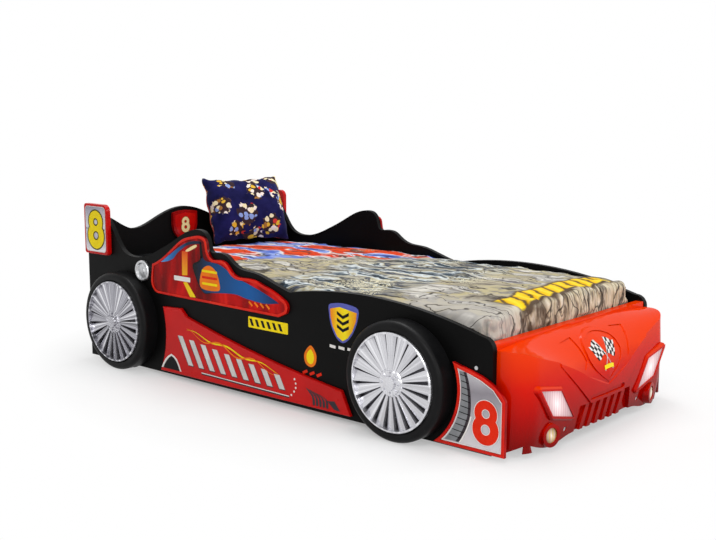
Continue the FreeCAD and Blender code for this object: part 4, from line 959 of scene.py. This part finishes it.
def pillow_cloth(name):
    """Navy cotton with scattered loose flowers in cream, yellow, coral and pale blue."""
    r = Recipe(name, Roughness=0.9, Sheen_Weight=0.05, Specular_IOR_Level=0.05)
    bent = bent_by(r, r.place, 16.0, 3.0, (0.028, 0.028, 0.028))
    cells = r.node("TexVoronoi", {"Vector": bent, "Scale": 11.0, "Randomness": 0.9})
    frayed = r.plus(cells.outputs["Distance"], r.times(r.noise(46.0, 4.0), 0.62))
    spot = r.math("LESS_THAN", frayed, 0.78)
    dabs = r.node("TexVoronoi", {"Vector": bent, "Scale": 48.0})
    pick = r.split(dabs.outputs["Color"])[0]
    petal = r.ramp(pick, [(0.0, "#f4e6bc"), (0.3, "#e9b93c"), (0.52, "#f4e6dc"), (0.7, "#d83c34"),
                          (0.8, "#8fa6e0"), (0.9, "#a8743a")], "CONSTANT")
    joints = r.math("LESS_THAN", dabs.outputs["Distance"], 0.52)
    petal = r.mix(joints, colour("#3a2a30"), petal)
    ground = r.ramp(r.noise(20.0, 4.0), [(0.3, "#12123a"), (0.7, "#23225c")])
    r.into(r.mix(spot, ground, petal), "Base Color")
    weave(r)
    return r.material


def plain_cloth(name, code):
    r = Recipe(name, Roughness=0.85, Sheen_Weight=0.25, Specular_IOR_Level=0.2)
    r.into(r.ramp(r.noise(14.0, 5.0), shaded(code, 0.1)), "Base Color")
    weave(r)
    return r.material


def mattress_piece():
    made = soft_copy("mattress_pad", "mattress", 0.012, ticking("mattress_ticking"))
    lo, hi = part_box("mattress")
    middle = (lo.z + hi.z) / 2

    def mover(p, n):
        pull = -0.006 * (1 - abs(n.z)) * math.exp(-((p.z - middle) / 0.012) ** 2)
        covered = ramped(hi.y - 0.01 - p.y, 0.0, 0.03) * ramped(p.z, lo.z + 0.01, lo.z + 0.04)
        pressed = Vector((n.x, min(0.0, n.y), max(0.0, n.z))) * COVER_ROOM * covered
        return p - pressed + n * (pull + 0.0012 * noise.noise(p * 14))

    reshaped(made, mover)
    smoothed(made)


def bedspread_piece():
    made = soft_copy("bedspread_cover", "bedspread", 0.006, painted_cloth("bedspread_print"))
    crumple_spread(made)
    puffed(made, 2.0, 0.005)
    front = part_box("bedspread")[0].y

    def clear_of_nose(p, n):
        return Vector((p.x, max(p.y, front), p.z)) if p.z < NOSE_CLEAR else p

    reshaped(made, clear_of_nose)


def tilted(turn, lean):
    """Lean about the X axis, then turn about the upright one."""
    return Quaternion((0, 0, 1), turn) @ Quaternion((1, 0, 0), lean)


def pillow_piece():
    made = soft_copy("pillow_cushion", "pillow", 0.005, pillow_cloth("pillow_print"))
    made.data.materials.append(plain_cloth("pillow_back", "#d2230f"))
    lo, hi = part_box("pillow")
    centre = (lo + hi) / 2
    back = tilted(SOLID_TURN, SOLID_LEAN).inverted()
    pose = tilted(PILLOW_TURN, PILLOW_LEAN)
    half_wide, half_tall = PILLOW_HALF

    def mover(p, n):
        local = back @ (p - centre)
        tug = ramped(max(abs(local.x) / half_wide, abs(local.z) / half_tall), 0.7, 1.0)
        wrinkle = noise.noise(Vector((local.x * 16, local.z * 16, local.y * 4)))
        swell = 0.003 * wrinkle + 0.002 * tug * math.sin(70 * (local.x + local.z))
        local.x *= PILLOW_SHARE[0]
        local.z = (local.z + half_tall) * PILLOW_SHARE[1] - half_tall
        return centre + PILLOW_SHIFT + pose @ (local + back @ n * swell)

    reshaped(made, mover)
    puffed(made, 3.0, 0.010)
    for face in made.data.polygons:
        local = pose.inverted() @ (face.center - centre - PILLOW_SHIFT)
        face.material_index = 1 if local.y > 0.004 else 0


mattress_piece()
bedspread_piece()
pillow_piece()


# ---- Studio ------------------------------------------------------------------------------


def camera():
    data = bpy.data.cameras.new("photo_camera")
    data.lens = LENS
    data.sensor_width = SENSOR
    made = bpy.data.objects.new("photo_camera", data)
    scene.collection.objects.link(made)
    azimuth, elevation, roll = (math.radians(angle) for angle in CAMERA_ANGLES)
    back = Vector((math.sin(azimuth) * math.cos(elevation), -math.cos(azimuth) * math.cos(elevation),
                   math.sin(elevation)))
    made.rotation_mode = "QUATERNION"
    made.rotation_quaternion = back.to_track_quat("Z", "Y") @ Quaternion((0, 0, 1), roll)
    made.location = CAMERA_PLACE
    scene.camera = made


def lamp(name, place, aim, size, power):
    data = bpy.data.lights.new(name, "AREA")
    data.shape = "RECTANGLE"
    data.size, data.size_y = size
    data.energy = power
    made = bpy.data.objects.new(name, data)
    scene.collection.objects.link(made)
    made.location = place
    made.rotation_mode = "QUATERNION"
    made.rotation_quaternion = (Vector(place) - Vector(aim)).to_track_quat("Z", "Y")


def seen_or_mirrored(tree):
    """1 for rays from the camera and for mirror images, 0 for the light on the object."""
    path = tree.nodes.new("ShaderNodeLightPath")
    total = path.outputs["Is Camera Ray"]
    for name in ("Is Glossy Ray", "Is Transmission Ray"):
        join = tree.nodes.new("ShaderNodeMath")
        join.operation = "MAXIMUM"
        tree.links.new(total, join.inputs[0])
        tree.links.new(path.outputs[name], join.inputs[1])
        total = join.outputs[0]
    return total


def backdrop():
    world = bpy.data.worlds.new("studio")
    world.use_nodes = True
    scene.world = world
    tree = world.node_tree
    soft = tree.nodes["Background"]
    soft.inputs[1].default_value = WORLD_STRENGTH
    white = tree.nodes.new("ShaderNodeBackground")
    white.inputs[0].default_value = (1, 1, 1, 1)
    white.inputs[1].default_value = 1.0
    soft.inputs[0].default_value = (1, 1, 1, 1)
    mixed = tree.nodes.new("ShaderNodeMixShader")
    tree.links.new(seen_or_mirrored(tree), mixed.inputs[0])
    tree.links.new(soft.outputs[0], mixed.inputs[1])
    tree.links.new(white.outputs[0], mixed.inputs[2])
    tree.links.new(mixed.outputs[0], tree.nodes["World Output"].inputs[0])


def floor():
    """Pale floor with soft light on it, which fades to white away from the object."""
    corners = [(a * FLOOR_HALF, b * FLOOR_HALF, 0) for a, b in ((-1, -1), (1, -1), (1, 1), (-1, 1))]
    made = add_mesh("studio_floor", corners, [(0, 1, 2, 3)], [])
    r = Recipe("studio_floor", Roughness=0.9, Specular_IOR_Level=0.1)
    r.into(r.ramp(r.noise(2.0), [(0.3, "#f4f4f4"), (0.7, "#fafafa")]), "Base Color")
    glow = r.node("Emission", {"Color": (1, 1, 1, 1), "Strength": 1.0})
    x, y, _ = r.split(r.place)
    away = r.plus(r.times(x, x), r.times(r.times(y, y), 0.45))
    white = r.level(away, 0.25, 0.95, **{"To Min": 0.3})
    share = r.times(seen_or_mirrored(r.tree), white)
    mixed = r.node("MixShader", {0: share, 1: r.shader.outputs[0], 2: glow.outputs[0]})
    r.link(mixed.outputs[0], r.tree.nodes["Material Output"].inputs[0])
    made.data.materials.append(r.material)


scene.view_settings.view_transform = "Standard"
camera()
backdrop()
floor()
for settings in LAMPS:
    lamp(*settings)
